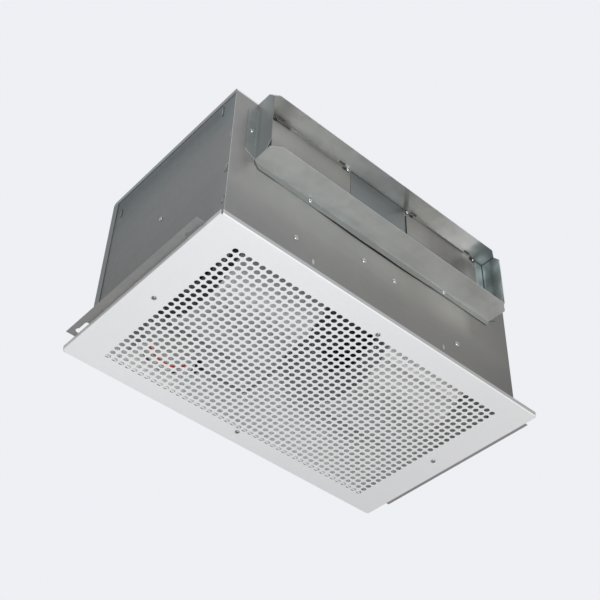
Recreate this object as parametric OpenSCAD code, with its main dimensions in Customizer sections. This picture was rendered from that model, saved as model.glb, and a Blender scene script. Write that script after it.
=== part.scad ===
// Ceiling exhaust fan. A sheet metal housing hangs between ceiling joists on two slotted brackets.
// Air enters through the perforated grille below, passes two centrifugal blowers driven by one
// motor, and leaves through the collar on the front, behind two backdraft flaps.
// Sizes are millimetres. Z points up as installed, X runs along the long side, the outlet faces -Y.
// Heights in the modules are counted from the grille's lower face, and depths from the middle of
// its perforations.

/* [Housing] */
// Outside width of the housing along X
house_w = 624; // [622:1:640]
// Depth from the middle of the perforations to the front face
house_front = 177; // [175:1:183]
// Depth from the middle of the perforations to the rear face
house_rear = 162; // [161:1:166]
// Height of the housing above the grille's lower face
house_h = 330; // [328:1:340]
// Thickness of the housing and collar sheets
sheet_t = 1.2; // [1:0.1:1.3]
// Height of the edge that the top panel folds down over the sides
top_edge_h = 9; // [7:0.5:12]
// Width of the strip that the rear panel folds over the sides
rear_edge_w = 14; // [10:1:16]

/* [Grille] */
// Width of the grille along X
grille_w = 668; // [660:1:690]
// Depth of the grille along Y
grille_d = 402; // [398:1:416]
// Distance that the grille's middle lies in front of the middle of its perforations
grille_shift = 2.5; // [0:0.5:4]
// Thickness of the grille sheet
grille_t = 1.2; // [1:0.1:1.5]
// Height of the grille's folded edge
grille_edge_h = 9; // [6:0.5:12]
// Radius of the grille's corners
grille_corner_r = 6; // [4:0.5:7]
// Pitch of the perforations
hole_pitch = 12.7; // [12.4:0.1:12.8]
// Diameter of the perforations
hole_d = 9.5; // [8:0.5:10]
// Least width of the plain border at the ends
border_x = 50; // [50:0.5:60]
// Least width of the plain border on the long sides
border_y = 34; // [33:0.5:40]
// Distance from the grille's ends to the screws there
end_screw_in = 34; // [32:0.5:36]
// Distance from the grille's long edges to the screws there
long_screw_in = 31; // [30:0.5:32]

/* [Outlet collar] */
// Outside width of the collar along X
collar_w = 535; // [530:1:545]
// Height of the collar, from its lower sheet to the housing's top
collar_h = 140; // [138:1:142]
// Distance that the collar's top stands out from the front face
collar_top_reach = 38; // [34:1:42]
// Distance that the collar's sides stand out from the front face
collar_side_reach = 40; // [36:1:44]
// Distance that the collar's lower sheet stands out from the front face
collar_low_reach = 50; // [46:1:54]
// Height of the lip that holds the collar's lower sheet
collar_lip_h = 15; // [13:1:18]
// Width of the tabs that hold the collar's sides
collar_tab_w = 19; // [17:1:22]

/* [Backdraft flaps] */
// Distance from the middle to the inner edge of a flap
flap_inner = 67.5; // [66.5:0.5:68]
// Distance from the middle to the outer edge of a flap
flap_outer = 243; // [242:0.5:244]
// Gap between a flap's lower edge and the collar's lower sheet
flap_gap = 3; // [2.5:0.5:4]
// Thickness of a flap
flap_t = 0.9; // [0.7:0.1:1]
// Radius of a hinge pin
pin_r = 1.25; // [1:0.05:1.4]
// Radial clearance of a hinge pin in its clips
pin_clearance = 0.05; // [0.02:0.01:0.09]

/* [Mounting brackets] */
// Width of the flange that stands out from the side
bracket_w = 37.5; // [35:0.5:40]
// Length of a bracket along Y
bracket_l = 330; // [326:1:334]
// Distance that the brackets' screws lie behind the middle of the perforations
bracket_shift = -3; // [-4:0.5:-2]
// Distance that the left bracket is moved back from there, and the right one forward
bracket_skew = 3; // [0:0.5:4]
// Gap between the grille's folded edge and a bracket's flange
bracket_gap = 0.5; // [0.3:0.1:2]
// Height of the leg against the side
bracket_leg_h = 40; // [36:1:44]
// Distance between the middles of a bracket's two slots
slot_spacing = 280; // [276:1:284]
// Length of a slot from end to end
slot_l = 31; // [28:1:33]
// Half of a slot's width
slot_r = 3.5; // [3:0.1:3.8]
// Radius of the round end that a screw head passes
slot_lobe_r = 6; // [5.5:0.1:6.5]

/* [Blowers] */
// Distance that the shaft lies behind the middle of the perforations
shaft_back = -40; // [-41:0.5:-38]
// Distance from the middle to the inner side of a scroll
scroll_inner = 68; // [67.5:0.5:68.5]
// Width of a scroll along X
scroll_w = 172; // [170.5:0.5:173]
// Height of a scroll's underside above the grille's lower face
scroll_low = 6; // [6:0.5:10]
// Gap between a scroll's top and the top sheet
scroll_top_gap = 8.8; // [8.5:0.1:10]
// Least gap between a scroll and the front sheet below the outlets
scroll_front_gap = 6.8; // [6:0.1:9]
// Amount by which a scroll's radius falls in each quarter turn
scroll_step = 14; // [13:0.5:14]
// Thickness of the scroll sheets
scroll_t = 1; // [0.8:0.1:1.2]
// Least gap between a blower wheel and its scroll
wheel_gap = 17; // [16:0.5:20]
// Radial depth of the blades
blade_depth = 17; // [15:0.5:17]
// Length of a wheel along its axis
wheel_l = 148; // [144:1:149]
// Blades in each wheel
blade_count = 40; // [24:2:44]
// Thickness of a blade
blade_t = 1; // [0.8:0.1:1.4]

/* [Motor] */
// Outside radius of the motor
motor_r = 62; // [60:0.5:64]
// Half of the motor shell's length
motor_half = 38; // [36:0.5:39]
// Radius of the shaft
shaft_r = 6.35; // [5.5:0.05:7]
// Radial clearance of the shaft in its bearings
shaft_clearance = 0.05; // [0.02:0.01:0.09]
// Outside radius of the bearings
bearing_r = 14; // [13:0.5:14.5]
// Radius of the hubs that carry the rubber rings
hub_r = 18; // [17:0.5:19]
// Outside radius of the rubber rings
ring_r = 25; // [24:0.5:26]

/* [Wiring] */
// Width of the wiring box along X
box_w = 100; // [90:1:110]
// Depth of the wiring box along Y
box_d = 50; // [46:1:50]
// Height of the wiring box
box_h = 42; // [38:1:43]
// Distance from the middle to the middle of the wiring box
box_left = 190; // [185:1:195]
// Radius of the opening for the supply cable's clamp
knockout_r = 11; // [10:0.5:12]

/* [Hidden] */
$fn = 48;

galvanised = [0.60, 0.62, 0.62];
bright_zinc = [0.78, 0.79, 0.80];
white_paint = [0.93, 0.93, 0.92];
dark_steel = [0.25, 0.26, 0.27];
black_rubber = [0.08, 0.08, 0.08];
grey_foam = [0.16, 0.16, 0.17];

eps = 0.01;
over = 1;

screw_gap = 0.15;
screw_r = 2;
head_r = 4;
head_h = 2.2;
front_head_r = 5;
recess_w = 1.2;
recess_depth = 0.9;
small_screw_r = 1.6;
small_head_r = 3.2;
small_head_h = 1.8;
sheet_screw_l = 7;
small_screw_l = 5;

house_half = house_w / 2;
side_in = house_half - sheet_t;
front_in = -house_front + sheet_t;
rear_in = house_rear - sheet_t;
top_in = house_h - sheet_t;
floor_z = grille_t;
rear_cut = 4;
top_screw_x = 200;
top_screw_in = 6;
side_fold_d = 12;
side_fold_low = 10;
side_fold_gap = 8;
front_foot_side = 2;
front_foot_d = 12;
front_foot_rim = 5;
front_lance_x = 142;
front_lance_z = 55;
front_lance_r = 2.4;
front_lance_half = 2.5;
lance_t = 0.8;
rear_strip_low = 6;
rear_strip_gap = 0.5;
rear_foot_rim = 8;
side_foot_rim = 6;
side_foot_in = 13;
side_lance_w = 3;
side_lance_t = 1;
front_lance_y = -house_front + 31;
front_lance_low = house_h - 39;
front_lance_high = house_h - 16;
rear_lance_y = house_rear - 33;
rear_lance_low = house_h - 56;
rear_lance_high = house_h - 39;
side_tab_low = 65;
side_tab_step = 70;
side_tab_h = 13;
side_tab_w = 6;
side_tab_in = 3;
side_screw_y = -4;
side_screw_z = house_h / 2 - 4;
side_screw_l = 5;
grille_back = grille_d / 2 - grille_shift;
base_shift = (house_front + collar_low_reach - grille_back) / 2;
fold_share = 0.5;
grille_screw_l = 8;
grille_screw_x = grille_w / 2 - end_screw_in;
grille_screw_y = grille_d / 2 - long_screw_in;
hole_columns = 2 * floor((grille_w / 2 - border_x) / hole_pitch);
hole_rows = 2 * floor((grille_d / 2 - border_y) / hole_pitch);

collar_half = collar_w / 2;
collar_low = house_h - collar_h;
collar_under = top_in - sheet_t;
collar_leg = 13;
top_clip_x = 15;
top_clip_y = 10;
low_clip_x = 17;
low_clip_y = 12;
wall_low_in = 12;
wall_low_up = 17;
wall_top_in = 12;
wall_top_down = 14;
collar_screw_x = collar_half + 9;
collar_screw_z = collar_low + 62;
tab_clip_low = 12;
tab_high = house_h - 18;
tab_clip_high = 12;
lip_screw_x = 152.5;
lip_screw_z = collar_low - 7.5;
lip_clip_x = 9;
lip_bend_x = 2;
lip_bend_z = 6;
top_slot_inner = 86;
top_slot_outer = 222;
top_slot_w = 13;
top_slot_d = 5;
top_slot_out = 3.4;
apron_in = 20;
apron_d = 8;

outlet_inner = scroll_inner + 2;
outlet_outer = scroll_inner + scroll_w - 2;
outlet_low = collar_low + 9;
outlet_high = house_h - 12;
hinge_y = -house_front - 2.6;
hinge_z = house_h - 8.5;
flap_low = collar_low + flap_gap;
roll_r = 2.2;
roll_gap = 1.5;
flap_neck = 5.5;
flap_hem = 2;
flap_hem_in = 6;
flap_round_r = 16;
pin_over = 0.5;
clip_w = 6;
clip_rim = 4.5;
clip_low_z = house_h - 11.4;
clip_reach = 2.4;
clip_gap = 0.3;
inner_clip = flap_inner + 12;
outer_clip = flap_outer - 10;
inner_clip_screw = flap_inner + 3.5;
outer_clip_screw = flap_outer - 3;
clip_screw_z = house_h - 7;
seal_t = 1.5;
seal_in = 0.5;
seal_rim = 4.5;
seal_h = outlet_high - outlet_low - 1;

post_half = flap_inner - 4;
post_gap = 1;
front_screw_low_x = 177;
front_screw_low_z = 83;
front_screw_high_x = 34;
front_screw_high_z = 132;
front_screw_low_l = 6;
front_screw_high_l = 7;

bracket_out = house_half + bracket_w;
slot_x = house_half + 23.3;
bracket_low = grille_edge_h + bracket_gap;
bracket_screw_z = bracket_low + 24;
bracket_screw_pitch = 115;
bracket_hole_r = 2.5;

scroll_y = shaft_back - scroll_step / 2;
scroll_top = top_in - scroll_top_gap;
scroll_front_r = scroll_y + 3 * scroll_step - front_in - scroll_front_gap;
scroll_r = min((scroll_top - scroll_low + scroll_step) / 2, scroll_front_r);
scroll_z = scroll_top - scroll_r;
shaft_high = scroll_z - scroll_step / 2;
throat_low = collar_low + 7.5;
scroll_outer = scroll_inner + scroll_w;
scroll_core = 5;
scroll_fold_w = 10;
wheel_r = scroll_r - 3 * scroll_step - wheel_gap;
blade_inner_r = wheel_r - blade_depth;
inlet_r = blade_inner_r + 6;
ring_t = 1;
ring_curve = 8;
ring_flange = 10;
foot_t = 1.5;
foot_low = 62;
foot_high = 104;
foot_in = 14;
foot_back = shaft_back - inlet_r - ring_flange + 7;

wheel_mid = scroll_inner + scroll_w / 2;
shaft_half = wheel_mid + 68;
blade_in = 0.5;
blade_curve_r = 14.1;
blade_curve_x = blade_inner_r + 2;
blade_curve_y = 14;
blade_field = 30;
blade_low = 5;
end_ring_w = 5;
end_ring_l = 5;
disc_in = 3;
disc_t = 2;
hub_out_r = 16;
hub_l = 30;
set_screw_r = 2.5;
set_screw_l = 9;
set_screw_z = 9;
set_hole_l = 20;

rotor_half = 25;
rotor_r = 35;
stator_half = 27;
stator_gap = 1;
shell_t = 3;
bell_t = 5;
hub_l_out = 12;
hub_sink = 1;
bearing_in = 1;
bearing_l = 9;
bell_bore = 1;
vent_r = 6;
vent_pitch_r = 40;
vent_turn = 45;
ring_in = 2;
ring_l = 8;

capacitor_r = 16;
capacitor_front = front_in + 6.8;
capacitor_back = capacitor_front + 66;
cradle_x = 48;
cradle_t = 2;
cradle_low = shaft_high - 75;
cradle_high = front_screw_high_z + 18;
cradle_back = capacitor_back + 13;
cradle_rim = 8;
arm_in = 12;
terminal_x = 6;
terminal_r = 3;
terminal_l = 6;
strap_back = 32;
strap_w = 12;
strap_t = 1;
strap_foot = 10;

box_z = 26;
box_back = rear_in;
box_front = rear_in - box_d;
box_t = 1;
box_x = -box_left;
box_end = box_x + box_w / 2;
plug_y = box_back - 30;
plug_z = 48;
plug_half = 9;
plug_body_l = 18;
plug_neck_l = 9;
plug_neck_r = 6;
socket_depth = 14;
socket_rim = 3;
socket_rim_t = 2;
cord_start = box_end + 28;
cord_r = 3.5;
cord_bend = 12;
cord_y = shaft_back + 56;
cord_end_x = -24;
cord_drop = pow(motor_r, 2) - pow(cord_y - cord_r - shaft_back, 2);
cord_top = shaft_high - sqrt(cord_drop) - 0.2;
lead_r = 1.6;
lead_pitch = 9;
lead_front = 12;
lead_half = 36;
lead_low = 8;
lead_clear = box_z - lead_low;
lead_curve_r = (pow(lead_half, 2) + pow(lead_clear, 2)) / (2 * lead_clear);
lead_turn = asin(lead_half / lead_curve_r);

// The whole object stands on its grille screws, with the middle of its depth at the origin.
module placed() translate([0, base_shift, head_h]) children();

module box_from(low, high) translate(low) cube(high - low);

// A drawing in the Y and Z plane, raised along X
module along_x(x, length) translate([x, 0, 0]) rotate([90, 0, 90]) linear_extrude(length) children();

module rod_x(x, y, z, r, length) translate([x, y, z]) rotate([0, 90, 0]) cylinder(r = r, h = length);

// A pan head screw whose head stands on the plane z = 0 and whose shank points down
module pan_screw(r, length, cap_r, cap_h) {
  difference() {
    cylinder(r = cap_r, h = cap_h);
    translate([-cap_r, -recess_w / 2, cap_h - recess_depth]) cube([cap_r * 2, recess_w, cap_h]);
    translate([-recess_w / 2, -cap_r, cap_h - recess_depth]) cube([recess_w, cap_r * 2, cap_h]);
  }
  translate([0, 0, -length]) cylinder(r = r, h = length + eps);
}

module big_screw(length) pan_screw(screw_r, length, head_r, head_h);
module front_screw(length) pan_screw(screw_r, length, front_head_r, head_h);
module small_screw(length) pan_screw(small_screw_r, length, small_head_r, small_head_h);
module facing_front() rotate([90, 0, 0]) children();
module facing_left() rotate([0, -90, 0]) children();
module facing_right() rotate([0, 90, 0]) children();
module facing_down() rotate([180, 0, 0]) children();

// Housing sheets

module top_edge(x) {
  along_x(x, sheet_t)
    polygon([[-house_front, house_h], [house_rear - rear_cut, house_h], [house_rear, house_h - rear_cut],
      [house_rear, house_h - top_edge_h], [-house_front, house_h - top_edge_h]]);
}

// The top, with an apron in front that covers the slots of the collar's top sheet
module top_panel() color(galvanised) placed() {
  difference() {
    union() {
      box_from([-house_half - sheet_t, -house_front, top_in],
        [house_half + sheet_t, house_rear - rear_cut, house_h]);
      top_edge(-house_half - sheet_t);
      top_edge(house_half);
      box_from([-collar_half + apron_in, -house_front - apron_d, top_in],
        [collar_half - apron_in, -house_front + over, house_h]);
    }
    for (side = [-1, 1])
      translate([side * top_screw_x, -house_front + top_screw_in, top_in - over])
        cylinder(r = screw_r + screw_gap, h = sheet_t + 2 * over);
  }
}

module front_panel_face() {
  difference() {
    translate([-house_half, floor_z]) square([house_w, collar_under - floor_z]);
    for (side = [-1, 1]) {
      translate([side > 0 ? outlet_inner : -outlet_outer, outlet_low])
        square([outlet_outer - outlet_inner, outlet_high - outlet_low]);
      translate([side * front_screw_low_x, front_screw_low_z]) circle(r = screw_r + screw_gap);
      translate([side * front_screw_high_x, front_screw_high_z]) circle(r = screw_r + screw_gap);
      translate([side * collar_screw_x, collar_screw_z]) circle(r = screw_r);
      translate([side * lip_screw_x, lip_screw_z]) circle(r = screw_r);
      translate([side * inner_clip_screw, clip_screw_z]) circle(r = small_screw_r);
      translate([side * outer_clip_screw, clip_screw_z]) circle(r = small_screw_r);
    }
  }
}

// A raised oval on the front sheet
module front_lance() {
  square([front_lance_r * 2, front_lance_half * 2], center = true);
  for (side = [-1, 1]) translate([0, side * front_lance_half]) circle(r = front_lance_r);
}

// The front sheet with its outlets, a folded edge at each side and one below
module front_panel() color(galvanised) placed() {
  translate([0, front_in, 0]) rotate([90, 0, 0]) linear_extrude(sheet_t) front_panel_face();
  for (side = [-1, 1]) {
    mirror([side > 0 ? 0 : 1, 0, 0]) {
      box_from([side_in - sheet_t, front_in - eps, side_fold_low],
        [side_in, front_in + side_fold_d, collar_under - side_fold_gap]);
      translate([front_lance_x, -house_front, front_lance_z]) facing_front()
        linear_extrude(lance_t) front_lance();
    }
  }
  difference() {
    box_from([-side_in + front_foot_side, min(front_in - eps, -grille_screw_y - front_foot_rim), floor_z],
      [side_in - front_foot_side, max(front_in + front_foot_d, -grille_screw_y + front_foot_rim),
        floor_z + sheet_t]);
    translate([0, -grille_screw_y, floor_z - over]) cylinder(r = screw_r, h = sheet_t + 2 * over);
  }
}

// The strip that the rear sheet folds over the right side, with its root in the rear sheet
module rear_strip() {
  low = bracket_low + bracket_leg_h + rear_strip_low;
  high = house_h - top_edge_h - rear_strip_gap;
  box_from([house_half, house_rear - rear_edge_w, low], [house_half + sheet_t, house_rear, high]);
  box_from([house_half - over, rear_in, low], [house_half + sheet_t, house_rear, high]);
}

// The rear sheet, folded over both sides, with an edge below for the grille
module rear_panel() color(galvanised) placed() {
  difference() {
    union() {
      box_from([-house_half, rear_in, floor_z], [house_half, house_rear, top_in]);
      for (side = [-1, 1])
        mirror([side > 0 ? 0 : 1, 0, 0])
          rear_strip();
      box_from([-side_in, min(rear_in, grille_screw_y - rear_foot_rim), floor_z],
        [side_in, max(house_rear, grille_screw_y + rear_foot_rim), floor_z + sheet_t]);
    }
    translate([0, grille_screw_y, floor_z - over]) cylinder(r = screw_r, h = sheet_t + 2 * over);
    translate([box_x, house_rear + over, box_z + box_h / 2]) facing_front()
      cylinder(r = knockout_r, h = sheet_t + 2 * over);
  }
}

// A side sheet drawn on the right, with raised lances, locking tabs and an inward edge below
module side_panel() {
  difference() {
    union() {
      box_from([side_in, front_in, floor_z], [house_half, rear_in, top_in]);
      box_from([min(side_in, grille_screw_x - side_foot_rim), front_in + side_foot_in, floor_z],
        [max(side_in + eps, grille_screw_x + side_foot_rim), rear_in - over, floor_z + sheet_t]);
      box_from([house_half - eps, front_lance_y, front_lance_low],
        [house_half + side_lance_t, front_lance_y + side_lance_w, front_lance_high]);
      box_from([house_half - eps, rear_lance_y, rear_lance_low],
        [house_half + side_lance_t, rear_lance_y + side_lance_w, rear_lance_high]);
      for (step = [0, 1])
        translate([0, front_in + side_tab_in, side_tab_low + step * side_tab_step])
          box_from([house_half - eps, 0, 0], [house_half + lance_t, side_tab_w, side_tab_h]);
    }
    translate([grille_screw_x, 0, floor_z - over]) cylinder(r = screw_r, h = sheet_t + 2 * over);
    translate([side_in - over, side_screw_y, side_screw_z]) facing_right()
      cylinder(r = screw_r, h = sheet_t + 2 * over);
    for (step = [-1, 0, 1])
      translate([side_in - over, bracket_shift + step * bracket_screw_pitch, bracket_screw_z])
        facing_right() cylinder(r = screw_r, h = sheet_t + 2 * over);
  }
}

module left_panel() color(galvanised) placed() mirror([1, 0, 0]) side_panel();
module right_panel() color(galvanised) placed() side_panel();

// The plate that closes the front between the two outlets
module outlet_post() color(galvanised) placed()
  box_from([-post_half, -house_front - sheet_t, collar_low + sheet_t + post_gap],
    [post_half, -house_front, collar_under]);

// Grille

module grille_shape() {
  inner_w = grille_w - 2 * grille_corner_r;
  inner_d = grille_d - 2 * grille_corner_r;
  union() {
    square([inner_w, grille_d], center = true);
    square([grille_w, inner_d], center = true);
    for (sx = [-1, 1])
      for (sy = [-1, 1])
        translate([sx * inner_w / 2, sy * inner_d / 2]) circle(r = grille_corner_r);
  }
}

module perforations() {
  for (column = [0 : hole_columns - 1])
    for (row = [0 : hole_rows - 1])
      translate([(column - (hole_columns - 1) / 2) * hole_pitch, (row - (hole_rows - 1) / 2) * hole_pitch])
        circle(d = hole_d);
}

module grille_screw_places() {
  for (side = [-1, 1]) {
    translate([side * grille_screw_x, 0]) children();
    translate([0, side * grille_screw_y]) children();
  }
}

// The perforated plate, with a folded edge on each side that stops at the rounded corners
module grille() color(white_paint) placed() {
  fold_end = grille_corner_r * fold_share;
  linear_extrude(grille_t)
    difference() {
      translate([0, -grille_shift]) grille_shape();
      perforations();
      grille_screw_places() circle(r = screw_r + screw_gap);
    }
  translate([0, -grille_shift, 0])
    for (side = [-1, 1]) {
      mirror([side > 0 ? 0 : 1, 0, 0])
        box_from([grille_w / 2 - grille_t, -grille_d / 2 + fold_end, grille_t - eps],
          [grille_w / 2, grille_d / 2 - fold_end, grille_edge_h]);
      mirror([0, side > 0 ? 0 : 1, 0])
        box_from([-grille_w / 2 + fold_end, grille_d / 2 - grille_t, grille_t - eps],
          [grille_w / 2 - fold_end, grille_d / 2, grille_edge_h]);
    }
}

module grille_screws() color(bright_zinc) placed()
  grille_screw_places() facing_down() big_screw(grille_screw_l);

// Mounting brackets

// A slot along Y with a round end that lets a screw head pass
module keyhole() {
  half = slot_l / 2;
  translate([-slot_r, -half + slot_r]) square([slot_r * 2, slot_l - slot_r - slot_lobe_r]);
  translate([0, -half + slot_r]) circle(r = slot_r);
  translate([0, half - slot_lobe_r]) circle(r = slot_lobe_r);
}

module bracket(shift) {
  front = shift - bracket_l / 2;
  difference() {
    union() {
      box_from([house_half, front, bracket_low], [bracket_out, front + bracket_l, bracket_low + sheet_t]);
      box_from([house_half, front, bracket_low],
        [house_half + sheet_t, front + bracket_l, bracket_low + bracket_leg_h]);
    }
    translate([slot_x, shift, bracket_low - over]) linear_extrude(sheet_t + 2 * over) {
      for (side = [-1, 1]) translate([0, side * slot_spacing / 2]) keyhole();
      circle(r = bracket_hole_r);
    }
    for (step = [-1, 0, 1])
      translate([house_half - over, bracket_shift + step * bracket_screw_pitch, bracket_screw_z])
        facing_right() cylinder(r = screw_r + screw_gap, h = sheet_t + 2 * over);
  }
}

module left_bracket() color(galvanised) placed() mirror([1, 0, 0]) bracket(bracket_shift + bracket_skew);
module right_bracket() color(galvanised) placed() bracket(bracket_shift - bracket_skew);

module bracket_screws() color(bright_zinc) placed()
  for (step = [-1, 0, 1]) {
    translate([-house_half - sheet_t, bracket_shift + step * bracket_screw_pitch, bracket_screw_z])
      facing_left() big_screw(sheet_screw_l);
    translate([house_half + sheet_t, bracket_shift + step * bracket_screw_pitch, bracket_screw_z])
      facing_right() big_screw(sheet_screw_l);
  }

// Outlet collar

// A sheet of the collar with its outer corners cut off
module collar_sheet(reach, clip_x, clip_y) {
  polygon([[-collar_half, 0], [-collar_half, -reach + clip_y], [-collar_half + clip_x, -reach],
    [collar_half - clip_x, -reach], [collar_half, -reach + clip_y], [collar_half, 0]]);
}

// The top sheet runs in under the housing's top and has a slot beside each hinge clip
module collar_top() color(galvanised) placed()
  translate([0, -house_front, collar_under]) linear_extrude(sheet_t)
    difference() {
      union() {
        collar_sheet(collar_top_reach, top_clip_x, top_clip_y);
        translate([-collar_half, 0]) square([collar_w, collar_leg]);
      }
      for (side = [-1, 1]) {
        translate([side * top_screw_x, top_screw_in]) circle(r = screw_r);
        translate([side * top_slot_inner, -top_slot_out]) square([top_slot_w, top_slot_d], center = true);
        translate([side * top_slot_outer, -top_slot_out]) square([top_slot_w, top_slot_d], center = true);
      }
    }

module collar_bottom() color(galvanised) placed() {
  translate([0, -house_front, collar_low - sheet_t]) linear_extrude(sheet_t)
    collar_sheet(collar_low_reach, low_clip_x, low_clip_y);
  translate([0, -house_front, 0]) rotate([90, 0, 0]) linear_extrude(sheet_t)
    difference() {
      polygon([[-collar_half, collar_low], [-collar_half + lip_bend_x, collar_low - lip_bend_z],
        [-collar_half + lip_clip_x, collar_low - collar_lip_h],
        [collar_half - lip_clip_x, collar_low - collar_lip_h],
        [collar_half - lip_bend_x, collar_low - lip_bend_z], [collar_half, collar_low]]);
      for (side = [-1, 1]) translate([side * lip_screw_x, lip_screw_z]) circle(r = screw_r + screw_gap);
    }
}

module collar_side() {
  reach = -house_front - collar_side_reach;
  along_x(collar_half - sheet_t, sheet_t)
    polygon([[-house_front, collar_low], [reach + wall_low_in, collar_low], [reach, collar_low + wall_low_up],
      [reach, collar_under - wall_top_down], [reach + wall_top_in, collar_under],
      [-house_front, collar_under]]);
  translate([0, -house_front, 0]) rotate([90, 0, 0]) linear_extrude(sheet_t)
    difference() {
      polygon([[collar_half - sheet_t, collar_low], [collar_half, collar_low],
        [collar_half + collar_tab_w, collar_low + tab_clip_low],
        [collar_half + collar_tab_w, tab_high - tab_clip_high],
        [collar_half, tab_high], [collar_half - sheet_t, tab_high]]);
      translate([collar_screw_x, collar_screw_z]) circle(r = screw_r + screw_gap);
    }
}

module collar_left() color(galvanised) placed() mirror([1, 0, 0]) collar_side();
module collar_right() color(galvanised) placed() collar_side();

module collar_screws() color(bright_zinc) placed()
  for (side = [-1, 1]) {
    translate([side * collar_screw_x, -house_front - sheet_t, collar_screw_z])
      facing_front() big_screw(sheet_screw_l);
    translate([side * lip_screw_x, -house_front - sheet_t, lip_screw_z])
      facing_front() big_screw(sheet_screw_l);
  }

// Backdraft flaps

// The sheet of a flap with its upper outer corner rounded, seen from the front
module flap_sheet(high) {
  union() {
    translate([flap_inner, flap_low]) square([flap_outer - flap_inner - flap_round_r, high - flap_low]);
    translate([flap_outer - flap_round_r - eps, flap_low])
      square([flap_round_r + eps, high - flap_low - flap_round_r]);
    translate([flap_outer - flap_round_r, high - flap_round_r]) circle(r = flap_round_r);
  }
}

// One flap drawn on the right. Its top is rolled around the hinge pin and notched at the clips.
module flap() {
  notch = inner_clip + clip_w / 2 + roll_gap;
  notch_end = outer_clip - clip_w / 2 - roll_gap;
  difference() {
    union() {
      translate([0, hinge_y + flap_t, 0]) rotate([90, 0, 0]) linear_extrude(flap_t)
        flap_sheet(hinge_z - flap_neck);
      box_from([notch, hinge_y, hinge_z - flap_neck - over],
        [notch_end, hinge_y + flap_t, hinge_z - pin_r]);
      rod_x(notch, hinge_y, hinge_z, roll_r, notch_end - notch);
      box_from([flap_inner + flap_hem_in, hinge_y - flap_hem, flap_low],
        [flap_outer - flap_hem_in, hinge_y + eps, flap_low + flap_t]);
    }
    rod_x(notch - over, hinge_y, hinge_z, pin_r, notch_end - notch + 2 * over);
  }
}

module hinge_pin()
  rod_x(inner_clip - clip_w / 2 - pin_over, hinge_y, hinge_z, pin_r,
    outer_clip - inner_clip + clip_w + 2 * pin_over);

module left_flap() color(galvanised) placed() mirror([1, 0, 0]) flap();
module right_flap() color(galvanised) placed() flap();
module left_hinge_pin() color(bright_zinc) placed() mirror([1, 0, 0]) hinge_pin();
module right_hinge_pin() color(bright_zinc) placed() hinge_pin();

// A clip screwed to the front sheet that carries one end of a hinge pin
module hinge_clip(middle, screw_at) {
  low = min(middle, screw_at) - clip_rim;
  high = max(middle, screw_at) + clip_rim;
  difference() {
    union() {
      box_from([low, -house_front - sheet_t, clip_low_z], [high, -house_front, collar_under - clip_gap]);
      box_from([middle - clip_w / 2, hinge_y - clip_reach, hinge_z - clip_reach],
        [middle + clip_w / 2, -house_front, hinge_z + clip_reach]);
    }
    rod_x(middle - clip_w, hinge_y, hinge_z, pin_r + pin_clearance, clip_w * 2);
    translate([screw_at, -house_front - sheet_t - over, clip_screw_z]) rotate([-90, 0, 0])
      cylinder(r = small_screw_r + screw_gap, h = sheet_t + 2 * over);
  }
}

module hinge_clips() color(bright_zinc) placed()
  for (side = [0, 1])
    mirror([side, 0, 0]) {
      hinge_clip(inner_clip, inner_clip_screw);
      hinge_clip(outer_clip, outer_clip_screw);
    }

module hinge_screws() color(bright_zinc) placed()
  for (side = [-1, 1]) {
    translate([side * inner_clip_screw, -house_front - sheet_t, clip_screw_z])
      facing_front() small_screw(small_screw_l);
    translate([side * outer_clip_screw, -house_front - sheet_t, clip_screw_z])
      facing_front() small_screw(small_screw_l);
  }

// Foam strips on the front sheet around each outlet that the flaps close against
module flap_seals() color(grey_foam) placed()
  translate([0, -house_front, 0]) rotate([90, 0, 0]) linear_extrude(seal_t)
    for (side = [0, 1])
      mirror([side, 0])
        difference() {
          translate([flap_inner + seal_in, outlet_low - seal_rim])
            square([flap_outer - flap_inner - 2 * seal_in, seal_h]);
          translate([outlet_inner, outlet_low]) square([outlet_outer - outlet_inner, outlet_high]);
        }

module front_screws() color(bright_zinc) placed()
  for (side = [-1, 1]) {
    translate([side * front_screw_low_x, -house_front, front_screw_low_z])
      facing_front() front_screw(front_screw_low_l);
    translate([side * front_screw_high_x, -house_front, front_screw_high_z])
      facing_front() front_screw(front_screw_high_l);
  }

module top_screws() color(bright_zinc) placed()
  for (side = [-1, 1])
    translate([side * top_screw_x, -house_front + top_screw_in, house_h]) big_screw(small_screw_l);

module side_screws() color(bright_zinc) placed() {
  translate([-house_half, side_screw_y, side_screw_z]) facing_left() big_screw(side_screw_l);
  translate([house_half, side_screw_y, side_screw_z]) facing_right() big_screw(side_screw_l);
}

// Scrolls

// A quarter disc of the scroll's outline, toward +Y or -Y and +Z or -Z
module quarter(y, z, r, toward_y, toward_z) translate([y, z]) intersection() {
  circle(r = r);
  translate([toward_y > 0 ? 0 : -r - over, toward_z > 0 ? 0 : -r - over]) square(r + over);
}

// The scroll's outline, grown by a sheet thickness: four quarter circles and the throat to the outlet
module scroll_outline(grow, mouth) {
  quarter(scroll_y, scroll_z, scroll_r + grow, 1, 1);
  quarter(scroll_y + scroll_step, scroll_z, scroll_r - scroll_step + grow, 1, -1);
  quarter(scroll_y + scroll_step, scroll_z - scroll_step, scroll_r - 2 * scroll_step + grow, -1, -1);
  quarter(scroll_y, scroll_z - scroll_step, scroll_r - 3 * scroll_step + grow, -1, 1);
  translate([scroll_y - scroll_core, scroll_z - scroll_step - scroll_core])
    square(scroll_step + 2 * scroll_core);
  translate([mouth, throat_low - grow]) square([scroll_y - mouth + over, scroll_top - throat_low + 2 * grow]);
}

module scroll_wrap(x) along_x(x + scroll_t, scroll_w - 2 * scroll_t)
  difference() {
    scroll_outline(scroll_t, front_in);
    scroll_outline(0, front_in - over);
  }

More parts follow.
